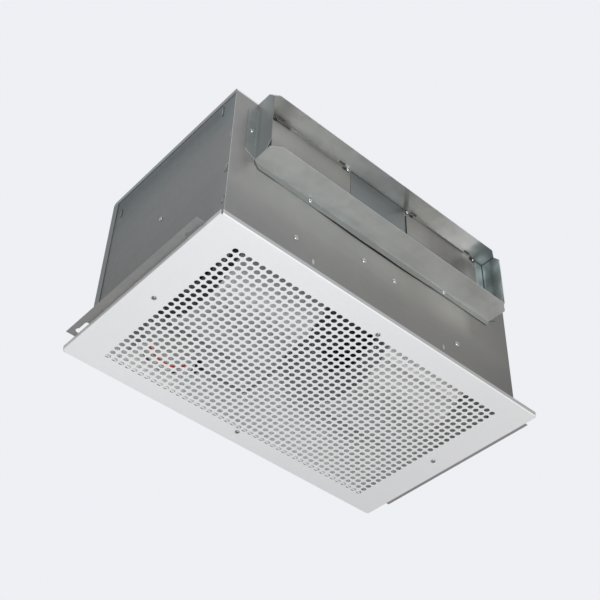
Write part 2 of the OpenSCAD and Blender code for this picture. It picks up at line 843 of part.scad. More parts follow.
// A side sheet of a scroll, with the inlet and a fold against the front sheet
module scroll_side(x, fold) {
  along_x(x, scroll_t)
    difference() {
      scroll_outline(scroll_t, front_in);
      translate([shaft_back, shaft_high]) circle(r = inlet_r);
    }
  box_from([fold > 0 ? x : x + scroll_t - scroll_fold_w, front_in, throat_low],
    [fold > 0 ? x + scroll_fold_w : x + scroll_t, front_in + scroll_t, scroll_top]);
}

module left_scroll_wrap() color(galvanised) placed() scroll_wrap(-scroll_outer);
module right_scroll_wrap() color(galvanised) placed() scroll_wrap(scroll_inner);
module left_scroll_outer_side() color(galvanised) placed() scroll_side(-scroll_outer, -1);
module left_scroll_inner_side() color(galvanised) placed() scroll_side(-scroll_inner - scroll_t, 1);
module right_scroll_inner_side() color(galvanised) placed() scroll_side(scroll_inner, -1);
module right_scroll_outer_side() color(galvanised) placed() scroll_side(scroll_outer - scroll_t, 1);

// A rounded inlet ring whose flange lies on the plane z = 0 and whose throat points down
module inlet_ring() rotate_extrude() {
  translate([inlet_r, -ring_curve + ring_t]) intersection() {
    difference() {
      circle(r = ring_curve);
      circle(r = ring_curve - ring_t);
    }
    translate([-ring_curve - over, 0]) square(ring_curve + over);
  }
  translate([inlet_r - eps, 0]) square([ring_flange, ring_t]);
}

module inlet_rings() color(galvanised) placed()
  for (side = [0, 1])
    mirror([side, 0, 0]) {
      translate([scroll_outer, shaft_back, shaft_high]) facing_right() inlet_ring();
      translate([scroll_inner, shaft_back, shaft_high]) facing_left() inlet_ring();
    }

// A foot between the front sheet and the outer side of a scroll
module scroll_feet() color(galvanised) placed()
  for (side = [0, 1])
    mirror([side, 0, 0]) {
      difference() {
        box_from([front_screw_low_x - foot_in, front_in, foot_low],
          [scroll_outer + foot_t, front_in + foot_t, foot_high]);
        translate([front_screw_low_x, front_in - over, front_screw_low_z]) rotate([-90, 0, 0])
          cylinder(r = screw_r, h = foot_t + 2 * over);
      }
      box_from([scroll_outer, front_in, foot_low], [scroll_outer + foot_t, foot_back, foot_high]);
    }

// Blower wheels

// One forward curved blade, seen along the axis
module blade() intersection() {
  difference() {
    translate([blade_curve_x, blade_curve_y]) circle(r = blade_curve_r + blade_t / 2);
    translate([blade_curve_x, blade_curve_y]) circle(r = blade_curve_r - blade_t / 2);
  }
  difference() {
    circle(r = wheel_r - blade_in);
    circle(r = blade_inner_r);
  }
  translate([blade_inner_r - blade_low, -blade_low]) square([blade_field, blade_curve_y + blade_low]);
}

// A wheel drawn upright and centred: blades, two end rings, and a middle disc with a hub
module wheel() difference() {
  union() {
    translate([0, 0, -wheel_l / 2 + over]) linear_extrude(wheel_l - 2 * over)
      for (index = [0 : blade_count - 1]) rotate(index * 360 / blade_count) blade();
    for (z = [-wheel_l / 2, wheel_l / 2 - end_ring_l])
      translate([0, 0, z]) difference() {
        cylinder(r = wheel_r, h = end_ring_l);
        translate([0, 0, -over]) cylinder(r = wheel_r - end_ring_w, h = end_ring_l + 2 * over);
      }
    translate([0, 0, -disc_t / 2]) cylinder(r = wheel_r - disc_in, h = disc_t);
    translate([0, 0, -hub_l / 2]) cylinder(r = hub_out_r, h = hub_l);
  }
  translate([0, 0, -hub_l / 2 - over]) cylinder(r = shaft_r, h = hub_l + 2 * over);
  translate([0, 0, set_screw_z]) rotate([0, 90, 0]) cylinder(r = set_screw_r, h = set_hole_l);
}

module left_wheel() color(galvanised) placed()
  translate([-wheel_mid, shaft_back, shaft_high]) facing_left() wheel();
module right_wheel() color(galvanised) placed()
  translate([wheel_mid, shaft_back, shaft_high]) facing_right() wheel();

module set_screw() translate([shaft_r, 0, set_screw_z]) rotate([0, 90, 0])
  cylinder(r = set_screw_r, h = set_screw_l);

module wheel_set_screws() color(dark_steel) placed() {
  translate([-wheel_mid, shaft_back, shaft_high]) facing_left() set_screw();
  translate([wheel_mid, shaft_back, shaft_high]) facing_right() set_screw();
}

module shaft() color(bright_zinc) placed()
  rod_x(-shaft_half, shaft_back, shaft_high, shaft_r, shaft_half * 2);

// Motor

module tube_x(x, r, inner, length) difference() {
  rod_x(x, shaft_back, shaft_high, r, length);
  rod_x(x - over, shaft_back, shaft_high, inner, length + 2 * over);
}

module motor_rotor() color(dark_steel) placed() tube_x(-rotor_half, rotor_r, shaft_r, 2 * rotor_half);
module motor_stator() color(dark_steel) placed()
  tube_x(-stator_half, motor_r - shell_t, rotor_r + stator_gap, 2 * stator_half);
module motor_shell() color(dark_steel) placed()
  tube_x(-motor_half, motor_r, motor_r - shell_t, 2 * motor_half);

// An end bell on the right, with a hub around the bearing and slots for cooling air
module motor_bell() difference() {
  union() {
    rod_x(motor_half, shaft_back, shaft_high, motor_r, bell_t);
    rod_x(motor_half + bell_t - hub_sink, shaft_back, shaft_high, hub_r, hub_l_out);
  }
  rod_x(motor_half + bell_t + bearing_in, shaft_back, shaft_high, bearing_r, hub_l_out);
  rod_x(motor_half - over, shaft_back, shaft_high, shaft_r + bell_bore, hub_l_out);
  for (turn = [0 : vent_turn : 360 - vent_turn])
    translate([motor_half - over, shaft_back, shaft_high]) rotate([turn, 0, 0])
      translate([0, 0, vent_pitch_r]) facing_right() cylinder(r = vent_r, h = bell_t + 2 * over);
}

module left_motor_bell() color(dark_steel) placed() mirror([1, 0, 0]) motor_bell();
module right_motor_bell() color(dark_steel) placed() motor_bell();

module motor_bearings() color(bright_zinc) placed()
  for (side = [0, 1])
    mirror([side, 0, 0])
      tube_x(motor_half + bell_t + bearing_in, bearing_r, shaft_r + shaft_clearance, bearing_l);

module mount_rings() color(black_rubber) placed()
  for (side = [0, 1])
    mirror([side, 0, 0]) tube_x(motor_half + bell_t + ring_in, ring_r, hub_r, ring_l);

// The cradle hangs from the front sheet: a plate, a short shelf and a cheek around each rubber ring
module motor_cradle() color(dark_steel) placed() {
  difference() {
    box_from([-cradle_x - cradle_t, front_in, cradle_low],
      [cradle_x + cradle_t, front_in + cradle_t, cradle_high]);
    for (side = [-1, 1])
      translate([side * front_screw_high_x, front_in - over, front_screw_high_z]) rotate([-90, 0, 0])
        cylinder(r = screw_r, h = cradle_t + 2 * over);
  }
  box_from([-cradle_x - cradle_t, front_in, cradle_low],
    [cradle_x + cradle_t, cradle_back, cradle_low + cradle_t]);
  for (side = [0, 1])
    mirror([side, 0, 0])
      along_x(cradle_x, cradle_t)
        difference() {
          union() {
            translate([shaft_back, shaft_high]) circle(r = ring_r + cradle_rim);
            translate([front_in, cradle_low])
              square([shaft_back - front_in, shaft_high - arm_in - cradle_low]);
          }
          translate([shaft_back, shaft_high]) circle(r = ring_r);
        }
}

module capacitor() color(bright_zinc) placed()
  translate([0, capacitor_front, cradle_low + cradle_t + capacitor_r]) rotate([-90, 0, 0]) {
    cylinder(r = capacitor_r, h = capacitor_back - capacitor_front);
    for (side = [-1, 1])
      translate([side * terminal_x, 0, capacitor_back - capacitor_front - eps])
        cylinder(r = terminal_r, h = terminal_l);
  }

// A strap over the capacitor, with a foot on each side
module capacitor_strap() color(galvanised) placed()
  translate([0, capacitor_front + strap_back, cradle_low + cradle_t]) rotate([-90, 0, 0])
    linear_extrude(strap_w) translate([0, -capacitor_r])
      difference() {
        union() {
          intersection() {
            circle(r = capacitor_r + strap_t);
            translate([-capacitor_r - strap_foot, -capacitor_r - strap_foot])
              square([2 * (capacitor_r + strap_foot), capacitor_r + strap_foot]);
          }
          translate([-capacitor_r - strap_t, 0]) square([2 * (capacitor_r + strap_t), capacitor_r]);
          translate([-capacitor_r - strap_foot, capacitor_r - strap_t])
            square([2 * (capacitor_r + strap_foot), strap_t]);
        }
        circle(r = capacitor_r);
        translate([-capacitor_r, 0]) square([2 * capacitor_r, capacitor_r + strap_t]);
      }

// Wiring

module wiring_box() color(galvanised) placed() difference() {
  box_from([box_x - box_w / 2, box_front, box_z + box_t], [box_end, box_back, box_z + box_h]);
  box_from([box_x - box_w / 2 + box_t, box_front + box_t, box_z],
    [box_end - box_t, box_back - box_t, box_z + box_h - box_t]);
  translate([box_x, box_back + over, box_z + box_h / 2]) facing_front()
    cylinder(r = knockout_r, h = box_t + 2 * over);
  box_from([box_end - box_t - over, plug_y - plug_half, plug_z - plug_half],
    [box_end + over, plug_y + plug_half, plug_z + plug_half]);
}

module wiring_cover() color(galvanised) placed() difference() {
  box_from([box_x - box_w / 2, box_front, box_z], [box_end, box_back, box_z + box_t]);
  for (row = [0, 1, 2])
    for (side = [-1, 1])
      translate([box_x + side * lead_half, plug_y - lead_front + row * lead_pitch, box_z - over])
        cylinder(r = lead_r, h = box_t + 2 * over);
}

module receptacle() color(black_rubber) placed() {
  box_from([box_end - socket_depth, plug_y - plug_half, plug_z - plug_half],
    [box_end + socket_rim_t, plug_y + plug_half, plug_z + plug_half]);
  box_from([box_end, plug_y - plug_half - socket_rim, plug_z - plug_half - socket_rim],
    [box_end + socket_rim_t, plug_y + plug_half + socket_rim, plug_z + plug_half + socket_rim]);
}

module motor_plug() color(black_rubber) placed() {
  box_from([box_end + socket_rim_t, plug_y - plug_half, plug_z - plug_half],
    [box_end + socket_rim_t + plug_body_l, plug_y + plug_half, plug_z + plug_half]);
  rod_x(box_end + socket_rim_t + plug_body_l - over, plug_y, plug_z, plug_neck_r, plug_neck_l);
}

// An elbow in the plane of the first two axes, from travel along X to travel along Y
module elbow(bend, r)
  translate([0, bend, 0]) rotate([0, 0, -90]) rotate_extrude(angle = 90) translate([bend, 0]) circle(r = r);

// The cord runs from the plug behind the scroll, forward, and up to the motor's shell
module motor_cord() color(black_rubber) placed() {
  rod_x(cord_start, plug_y, plug_z, cord_r, cord_end_x - cord_bend - cord_start + eps);
  translate([cord_end_x - cord_bend, plug_y, plug_z]) mirror([0, 1, 0]) elbow(cord_bend, cord_r);
  translate([cord_end_x, plug_y - cord_bend, plug_z]) rotate([90, 0, 0])
    cylinder(r = cord_r, h = plug_y - cord_y - 2 * cord_bend);
  translate([cord_end_x, cord_y + cord_bend, plug_z]) rotate([0, 0, -90]) rotate([90, 0, 0])
    elbow(cord_bend, cord_r);
  translate([cord_end_x, cord_y, plug_z + cord_bend]) cylinder(r = cord_r, h = cord_top - plug_z - cord_bend);
}

// A lead that hangs in one arc out of the cover and back in
module lead_loop(y) translate([box_x, y, box_z - lead_clear + lead_curve_r]) rotate([90, 0, 0])
  rotate([0, 0, -90 - lead_turn]) rotate_extrude(angle = 2 * lead_turn)
    translate([lead_curve_r, 0]) circle(r = lead_r);

module red_lead() color([0.75, 0.16, 0.08]) placed() lead_loop(plug_y - lead_front);
module white_lead() color([0.88, 0.87, 0.84]) placed() lead_loop(plug_y - lead_front + lead_pitch);
module black_lead() color(black_rubber) placed() lead_loop(plug_y - lead_front + 2 * lead_pitch);

top_panel();
front_panel();
rear_panel();
left_panel();
right_panel();
outlet_post();
grille();
grille_screws();
left_bracket();
right_bracket();
bracket_screws();
collar_top();
collar_bottom();
collar_left();
collar_right();
collar_screws();
left_flap();
right_flap();
left_hinge_pin();
right_hinge_pin();
hinge_clips();
hinge_screws();
flap_seals();
front_screws();
top_screws();
side_screws();
left_scroll_wrap();
right_scroll_wrap();
left_scroll_outer_side();
left_scroll_inner_side();
right_scroll_inner_side();
right_scroll_outer_side();
inlet_rings();
scroll_feet();
left_wheel();
right_wheel();
wheel_set_screws();
shaft();
motor_rotor();
motor_shell();
motor_stator();
left_motor_bell();
right_motor_bell();
motor_bearings();
mount_rings();
motor_cradle();
capacitor();
capacitor_strap();
wiring_box();
wiring_cover();
receptacle();
motor_plug();
motor_cord();
red_lead();
white_lead();
black_lead();
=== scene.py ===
import math

import bmesh
import bpy
from mathutils import Matrix, Vector


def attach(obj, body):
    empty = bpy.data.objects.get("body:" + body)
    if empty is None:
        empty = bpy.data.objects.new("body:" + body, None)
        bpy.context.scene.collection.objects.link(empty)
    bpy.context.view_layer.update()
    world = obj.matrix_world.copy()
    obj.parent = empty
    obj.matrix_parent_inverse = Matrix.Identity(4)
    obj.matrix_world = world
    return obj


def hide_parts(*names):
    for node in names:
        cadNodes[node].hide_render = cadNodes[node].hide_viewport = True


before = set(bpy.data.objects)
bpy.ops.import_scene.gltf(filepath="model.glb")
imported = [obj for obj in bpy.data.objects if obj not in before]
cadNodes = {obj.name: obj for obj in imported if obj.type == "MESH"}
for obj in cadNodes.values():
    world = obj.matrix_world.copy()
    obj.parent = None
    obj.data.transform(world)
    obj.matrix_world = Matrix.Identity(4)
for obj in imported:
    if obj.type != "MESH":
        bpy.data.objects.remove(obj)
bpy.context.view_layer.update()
print("frame loaded:", len(cadNodes), "nodes")

mm = 0.001
holesMiddle = Vector((0, 14.25, 2.2)) * mm  # the middle of the perforations, on the grille's lower face

# camera, light and stage

cameraSet = {
    "place": (-0.9477, -1.0916, -1.1834),  # metres, below the object and in front of its left corner
    "right": (0.7475, -0.6637, 0.0271),
    "down": (0.47069, 0.50047, -0.72662),
    "lens": 69.70,
    "sensor": 36,
    "nearest": 0.02,
    "farthest": 60,
}

lightSet = {
    "skyColour": (0.855, 0.871, 0.905),
    "skyLight": 0.60,  # what reaches the sheet metal; the camera sees the sky at full strength
    "keyPower": 50.0,
    "keyPlace": (-0.9, -2.2, -1.9),
    "keySize": 1.4,
    "fillPower": 9.0,
    "fillColour": (1.0, 0.985, 0.955),
    "fillPlace": (1.9, -2.0, -1.2),
    "fillSize": 2.0,
    "aim": (0, 0, 0.1),
    "floorZ": -2.5,
    "floorSize": 14.0,
    "floorColour": (0.82, 0.83, 0.85),
    "floorRoughness": 0.9,
}


def addObject(name, mesh):
    thing = bpy.data.objects.new(name, mesh)
    bpy.context.scene.collection.objects.link(thing)
    return thing


def makeCamera(values):
    right = Vector(values["right"]).normalized()
    back = right.cross(-Vector(values["down"])).normalized()
    up = back.cross(right).normalized()
    data = bpy.data.cameras.new("camera")
    data.lens = values["lens"]
    data.sensor_width = values["sensor"]
    data.clip_start, data.clip_end = values["nearest"], values["farthest"]
    camera = addObject("camera", data)
    turn = Matrix((right, up, back)).transposed().to_4x4()
    camera.matrix_world = Matrix.Translation(Vector(values["place"])) @ turn
    bpy.context.scene.camera = camera


def softLight(name, place, aim, size, power, colour=(1, 1, 1)):
    data = bpy.data.lights.new(name, "AREA")
    data.shape = "DISK"
    data.size = size
    data.energy = power
    data.color = colour
    lamp = addObject(name, data)
    lamp.location = place
    lamp.rotation_euler = (Vector(aim) - Vector(place)).to_track_quat("-Z", "Y").to_euler()


def makeStage(values):
    world = bpy.data.worlds.new("paleSky")
    world.use_nodes = True
    tree = world.node_tree
    sky = tree.nodes["Background"]
    sky.inputs["Color"].default_value = (*values["skyColour"], 1)
    seen = tree.nodes.new("ShaderNodeLightPath")
    strength = tree.nodes.new("ShaderNodeMapRange")
    strength.inputs["To Min"].default_value = values["skyLight"]
    strength.inputs["To Max"].default_value = 1.0
    tree.links.new(seen.outputs["Is Camera Ray"], strength.inputs["Value"])
    tree.links.new(strength.outputs["Result"], sky.inputs["Strength"])
    bpy.context.scene.world = world
    aim = values["aim"]
    softLight("keyLight", values["keyPlace"], aim, values["keySize"], values["keyPower"])
    softLight("fillLight", values["fillPlace"], aim, values["fillSize"], values["fillPower"],
              values["fillColour"])
    half, low = values["floorSize"] / 2, values["floorZ"]
    corners = [(-half, -half, low), (half, -half, low), (half, half, low), (-half, half, low)]
    mesh = bpy.data.meshes.new("floor")
    mesh.from_pydata(corners, [], [(0, 1, 2, 3)])
    floor = addObject("floor", mesh)
    paint = bpy.data.materials.new("floorPaint")
    paint.use_nodes = True
    shader = paint.node_tree.nodes["Principled BSDF"]
    shader.inputs["Base Color"].default_value = (*values["floorColour"], 1)
    shader.inputs["Roughness"].default_value = values["floorRoughness"]
    mesh.materials.append(paint)


makeCamera(cameraSet)
makeStage(lightSet)
bpy.context.scene.view_settings.view_transform = "Standard"
print("camera, light and stage ready")


# shader maths: a wrapped socket adds a Math node for each operator

class Value:
    def __init__(self, tree, socket):
        self.tree, self.socket = tree, socket

    def maths(self, operation, first, second=None):
        node = self.tree.nodes.new("ShaderNodeMath")
        node.operation = operation
        for place, value in enumerate((first, second)):
            if isinstance(value, Value):
                self.tree.links.new(value.socket, node.inputs[place])
            elif value is not None:
                node.inputs[place].default_value = value
        return Value(self.tree, node.outputs[0])

    def __add__(self, other):
        return self.maths("ADD", self, other)

    def __radd__(self, other):
        return self.maths("ADD", other, self)

    def __sub__(self, other):
        return self.maths("SUBTRACT", self, other)

    def __rsub__(self, other):
        return self.maths("SUBTRACT", other, self)

    def __mul__(self, other):
        return self.maths("MULTIPLY", self, other)

    def __rmul__(self, other):
        return self.maths("MULTIPLY", other, self)

    def __gt__(self, other):
        return self.maths("GREATER_THAN", self, other)


class Finish:
    def __init__(self, name):
        self.material = bpy.data.materials.new(name)
        self.material.use_nodes = True
        self.tree = self.material.node_tree
        self.shader = self.tree.nodes["Principled BSDF"]

    def put(self, socket, value):
        if isinstance(value, Value):
            self.tree.links.new(value.socket, socket)
        elif isinstance(value, tuple) and len(socket.default_value) == 4:
            socket.default_value = (*value, 1)
        else:
            socket.default_value = value

    def node(self, kind, settings=None, sockets=None, out=0):
        made = self.tree.nodes.new("ShaderNode" + kind)
        for name, value in (settings or {}).items():
            if name == "stops":
                stops = made.color_ramp.elements
                for place, (position, colour) in enumerate(value):
                    stop = stops[place] if place < len(stops) else stops.new(position)
                    stop.position, stop.color = position, (*colour, 1)
            else:
                setattr(made, name, value)
        for name, value in (sockets or {}).items():
            self.put(made.inputs[name], value)
        return Value(self.tree, made.outputs[out])

    def place(self, scale=(1, 1, 1)):
        point = self.node("TexCoord", out="Object")
        return self.node("Mapping", sockets={"Vector": point, "Scale": scale})

    def noise(self, where, scale, detail=2.0, rough=0.5):
        sockets = {"Vector": where, "Scale": scale, "Detail": detail, "Roughness": rough}
        return self.node("TexNoise", sockets=sockets)

    def maths(self, operation, first, second=None):
        return first.maths(operation, first, second)

    def mix(self, factor, first, second, kind="MIX"):
        settings = {"data_type": "RGBA", "blend_type": kind}
        return self.node("Mix", settings, {0: factor, 6: first, 7: second}, out=2)

    def tone(self, colour, level):
        grey = self.node("CombineColor", sockets={"Red": level, "Green": level, "Blue": level})
        return self.mix(1.0, colour, grey, "MULTIPLY")

    def bump(self, height, distance, strength=1.0, over=None):
        sockets = {"Height": height, "Distance": distance, "Strength": strength}
        if over is not None:
            sockets["Normal"] = over
        return self.node("Bump", sockets=sockets)

    def axis(self, letter):
        return self.node("SeparateXYZ", sockets={"Vector": self.node("TexCoord", out="Object")}, out=letter)

    def ramp(self, value, fromLow, fromHigh, low, high):
        # a smooth step from one level to another while the value crosses a range
        sockets = {"Value": value, "From Min": fromLow, "From Max": fromHigh, "To Min": low, "To Max": high}
        return self.node("MapRange", {"interpolation_type": "SMOOTHSTEP"}, sockets)

    def step(self, letter, span, low=0.0, high=1.0):
        # the same along one axis, over a span of two places
        return self.ramp(self.axis(letter), *span, low, high)

    def band(self, value, low, high, soft):
        # 1 between two places and 0 outside them
        return self.ramp(value, low - soft, low, 0.0, 1.0) * self.ramp(value, high, high + soft, 1.0, 0.0)

    def follow(self, letter, levels):
        # a level that changes along one axis through (millimetres, level) pairs
        low, high = levels[0][0], levels[-1][0]
        sockets = {"Value": self.axis(letter), "From Min": low * mm, "From Max": high * mm}
        stops = [((at - low) / (high - low), (level / 2, level / 2, level / 2)) for at, level in levels]
        return self.node("ValToRGB", {"stops": stops}, {"Fac": self.node("MapRange", None, sockets)}) * 2.0

    def surface(self, colour, roughness, metallic=0.0, normal=None, coat=0.0):
        for name, value in (("Base Color", colour), ("Roughness", roughness), ("Metallic", metallic),
                            ("Normal", normal), ("Coat Weight", coat)):
            if value is not None:
                self.put(self.shader.inputs[name], value)
        return self.material


# rolled and galvanised sheet: faint spangle, rolling streaks, cloudy oxide, and fine scratches

sheetSet = {
    "spangleScale": 95,  # crystals about 10 mm wide
    "spangleDepth": 0.05,
    "spangleGloss": 0.10,
    "streakScale": 3.0,
    "streakDepth": 0.05,
    "cloudScale": 5.5,
    "cloudDepth": 0.16,
    "cloudGloss": 0.22,
    "roughness": 0.40,
    "grainScale": 1400,
    "scratchScale": 8.0,
    "relief": (0.35, 0.25, 0.12),  # shares of the grain, the scratches and the spangle
    "reliefHeight": 0.06 * mm,
    "tintScale": 3.2,
    "cool": (0.335, 0.362, 0.362),
    "warm": (0.385, 0.374, 0.352),
    # the colour of the painted teal reflection
    "tealReflection": (0.270, 0.325, 0.335),
    "waveScale": 5.0,  # the slight waves of a wide thin sheet
    "waveDepth": 2.5 * mm,
}

# the way in which a sheet was rolled, as scales of its streaks
rolledX, rolledY, rolledZ = (1.5, 40, 40), (40, 1.5, 40), (40, 40, 1.5)

# where the collar's sheets meet the housing, and the painted shade in the seams there
collarSet = {
    "front": -162.75 * mm,  # the front sheet's outer face
    "wall": 266.3 * mm,
    "floor": 192 * mm,
    "ceiling": 329.8 * mm,
    "seam": 1.9 * mm,
    "seamSoft": 2 * mm,
    "seamEdge": 0.6 * mm,
    "seamDark": 0.70,
}

# each sheet has its own painted light and shade below; levels are pairs of millimetres along an axis and how
# light it is there

frontSet = {
    "gapLow": 171.4 * mm,  # painted shadow in the gap below the collar's lip, lowest in the middle
    "gapRise": 0.238,  # how fast its lower line rises towards the ends, per metre
    "gapMiddle": -5 * mm,
    "gapSoft": 1.6 * mm,
    "gapWave": 2.5 * mm,
    "gapHigh": (182 * mm, 184 * mm),
    "gapShade": 0.80,
    "faceSoft": 0.2 * mm,
    # painted highlights on the lances
    "lance": (142 * mm, 57.2 * mm),
    "lanceHalf": (2.6 * mm, 5.2 * mm),
    "lanceEdge": (0.7, 1.2),
    "lanceHighlight": 0.9,
    "seamEnds": (246 * mm, 267 * mm),  # the painted shade in the seam under the collar's upper sheet shows here
    "lightUp": (105 * mm, 150 * mm),  # the painted reflection below the lip fades in over this height
    "cornerAlong": (245 * mm, 266.5 * mm),  # the painted light in the corner inside the collar's right end
    "cornerUp": (190 * mm, 196 * mm),
    "cornerSoft": 3 * mm,
    "cornerFall": (300 * mm, 325 * mm),
    "cornerGlow": (2.1, 0.9),
    # painted teal reflection in that corner
    "cornerReflection": 0.55,
    # painted light and shade: darker towards the right end and the bottom, with a painted reflection below
    # the lip
    "along": ((-312, 1.06), (-230, 1.07), (-110, 1.00), (-50, 1.00), (10, 0.90), (130, 0.86),
              (190, 0.78), (250, 0.69), (312, 0.61)),
    "up": ((48, 0.79), (72, 0.80), (102, 0.88), (122, 0.95)),
    "belowLip": ((-255, 0.0), (-235, 0.04), (-50, 0.07), (10, 0.18), (70, 0.11), (110, 0.17),
                 (165, 0.36), (198, 0.36), (220, 0.0)),
}


# the corner inside the collar's right end, where light and a teal reflection are painted
def frontCorner(finish):
    inside = finish.step("Z", frontSet["cornerUp"])
    return inside * finish.band(finish.axis("X"), *frontSet["cornerAlong"], frontSet["cornerSoft"])


def frontTealReflection(finish):
    return frontCorner(finish) * frontSet["cornerReflection"]


def frontShade(finish):
    # painted shadow in the thin gap where the lip below the collar stands off, painted highlights on the
    # lances, and painted shade in the collar's seams
    values, collar = frontSet, collarSet
    along, away, height = finish.axis("X"), finish.axis("Y"), finish.axis("Z")
    width = finish.maths("ABSOLUTE", along)
    outside = finish.ramp(away, collar["front"], collar["front"] + values["faceSoft"], 1.0, 0.0)
    reach = along - values["gapMiddle"]
    wave = finish.noise(finish.place((9, 0, 0)), 1.0, 2.0)
    above = height - reach * reach * values["gapRise"] + (wave - 0.5) * values["gapWave"]
    gap = finish.ramp(above, values["gapLow"], values["gapLow"] + values["gapSoft"], 0.0, 1.0)
    gap = gap * finish.step("Z", values["gapHigh"], 1.0, 0.0)
    side = (width - values["lance"][0]) * (1 / values["lanceHalf"][0])
    up = (height - values["lance"][1]) * (1 / values["lanceHalf"][1])
    oval = finish.ramp(side * side + up * up, *values["lanceEdge"], 1.0, 0.0)
    corner = finish.band(width, collar["wall"] - collar["seam"], collar["wall"], collar["seamEdge"])
    ceilingLow = collar["ceiling"] - 3 * collar["seam"]
    ceiling = finish.ramp(height, ceilingLow, collar["ceiling"] - collar["seamSoft"], 0.0, 1.0)
    inside = finish.ramp(height, collar["floor"], collar["floor"] + collar["seamSoft"], 0.0, 1.0)
    nearEnds = finish.band(width, *values["seamEnds"], collar["seamSoft"])
    seam = finish.maths("MAXIMUM", corner * inside, ceiling * nearEnds)
    dark = finish.maths("MAXIMUM", gap * values["gapShade"], seam * collar["seamDark"])
    # a painted reflection below the lip, and painted light in the corner inside the collar
    below = finish.step("Z", values["lightUp"]) * finish.follow("X", values["belowLip"])
    level = finish.follow("X", values["along"]) * (finish.follow("Z", values["up"]) + below)
    glow = finish.step("Z", values["cornerFall"], *values["cornerGlow"])
    level = level * (frontCorner(finish) * glow + 1.0)
    return (1.0 - dark * outside + oval * values["lanceHighlight"]) * level


leftSet = {
    # painted highlights on the lances and tabs: place, height, half width, half height, and how much lighter
    "lights": ((-129.8, 303.6, 1.7, 7.5, 0.9), (148.2, 288, 2.2, 8, 0.5), (-158, 223, 3, 6, 0.25),
               (-157.3, 149, 3, 6, 0.35), (-158, 70, 3, 6, 0.35)),
    "lightEdge": (0.5, 1.3),
    "fallAway": (-160 * mm, -115 * mm),  # painted shade: the top of the side darkens behind its front edge
    # painted teal reflection towards the top
    "reflectionUp": (200 * mm, 312 * mm),
    "tealReflection": 0.70,
    # painted light and shade: darker towards the rear, and towards the top behind the front edge
    "away": ((-160, 1.06), (-106, 1.00), (-26, 0.96), (54, 0.92), (134, 0.84), (164, 0.79)),
    "up": ((60, 0.93), (120, 0.96), (160, 1.0), (245, 1.0), (282, 0.87), (308, 0.68), (314, 0.76),
           (319, 0.86), (326, 0.87)),
}


def leftShade(finish):
    # painted shade towards the top and the rear, with painted highlights on the edges of the lances and tabs
    values = leftSet
    away, height = finish.axis("Y"), finish.axis("Z")
    fall = (1.0 - finish.follow("Z", values["up"])) * finish.step("Y", values["fallAway"])
    glow = 0.0
    for place, rise, halfWidth, halfHeight, strength in values["lights"]:
        side = (away - place * mm) * (1 / (halfWidth * mm))
        up = (height - rise * mm) * (1 / (halfHeight * mm))
        glow = finish.ramp(side * side + up * up, *values["lightEdge"], strength, 0.0) + glow
    return finish.follow("Y", values["away"]) * (1.0 - fall) + glow


def leftTealReflection(finish):
    return finish.step("Z", leftSet["reflectionUp"], 0.0, leftSet["tealReflection"])


collarBottomSet = {
    "lipFrom": (-166.2 * mm, -165.2 * mm),  # the lip lies behind this
    "lowEdge": (177.6 * mm, 179.0 * mm),
    "leftEnd": (-240 * mm, -205 * mm),  # the painted shadow outline shows only near the ends
    "rightEnd": (100 * mm, 125 * mm),
    "endPlace": 267.5 * mm,
    "endSlant": -10 * mm,
    "endEdge": (0.8 * mm, 2.2 * mm),
    "bend": (190.5 * mm, 191.5 * mm),
    "outlineShade": 0.55,
    # painted light and shade along the sheet and the lip, with a painted highlight on the bend
    "along": ((-267, 1.21), (-130, 1.21), (-70, 1.28), (-10, 1.22), (50, 1.09), (110, 1.11),
              (170, 1.12), (230, 1.25), (267, 1.20)),
    "lipAlong": ((-240, 0.96), (-160, 0.92), (-100, 0.90), (-20, 0.88), (20, 1.03), (100, 1.07),
                 (140, 1.12), (180, 1.10), (220, 1.02), (250, 0.92)),
    "lipUp": ((177, 0.56), (180, 0.62), (186, 0.61), (190.2, 0.62), (190.8, 0.98), (191.8, 0.98),
              (192.0, 1.0), (193, 1.0)),
    "lipEnd": ((177, 0.9), (186, 0.2), (192, 0.0)),
}


def lipShade(finish):
    # painted shade: the lip is darker than the sheet above it, with a painted highlight on the bend and a
    # painted shadow outline at its ends
    values = collarBottomSet
    along = finish.axis("X")
    lip = finish.step("Y", values["lipFrom"])
    ends = finish.step("X", values["leftEnd"], 1.0, 0.0) + finish.step("X", values["rightEnd"])
    edge = finish.step("Z", values["lowEdge"], values["outlineShade"], 0.0) * ends
    reach = finish.follow("Z", values["lipEnd"]) * values["endSlant"] + (along + values["endPlace"])
    side = finish.ramp(reach, *values["endEdge"], values["outlineShade"], 0.0)
    side = side * finish.step("Z", values["bend"], 1.0, 0.0)
    dark = finish.maths("MAXIMUM", edge, side)
    level = finish.follow("Z", values["lipUp"]) * finish.follow("X", values["lipAlong"]) * (1.0 - dark)
    return finish.follow("X", values["along"]) * ((level - 1.0) * lip + 1.0)


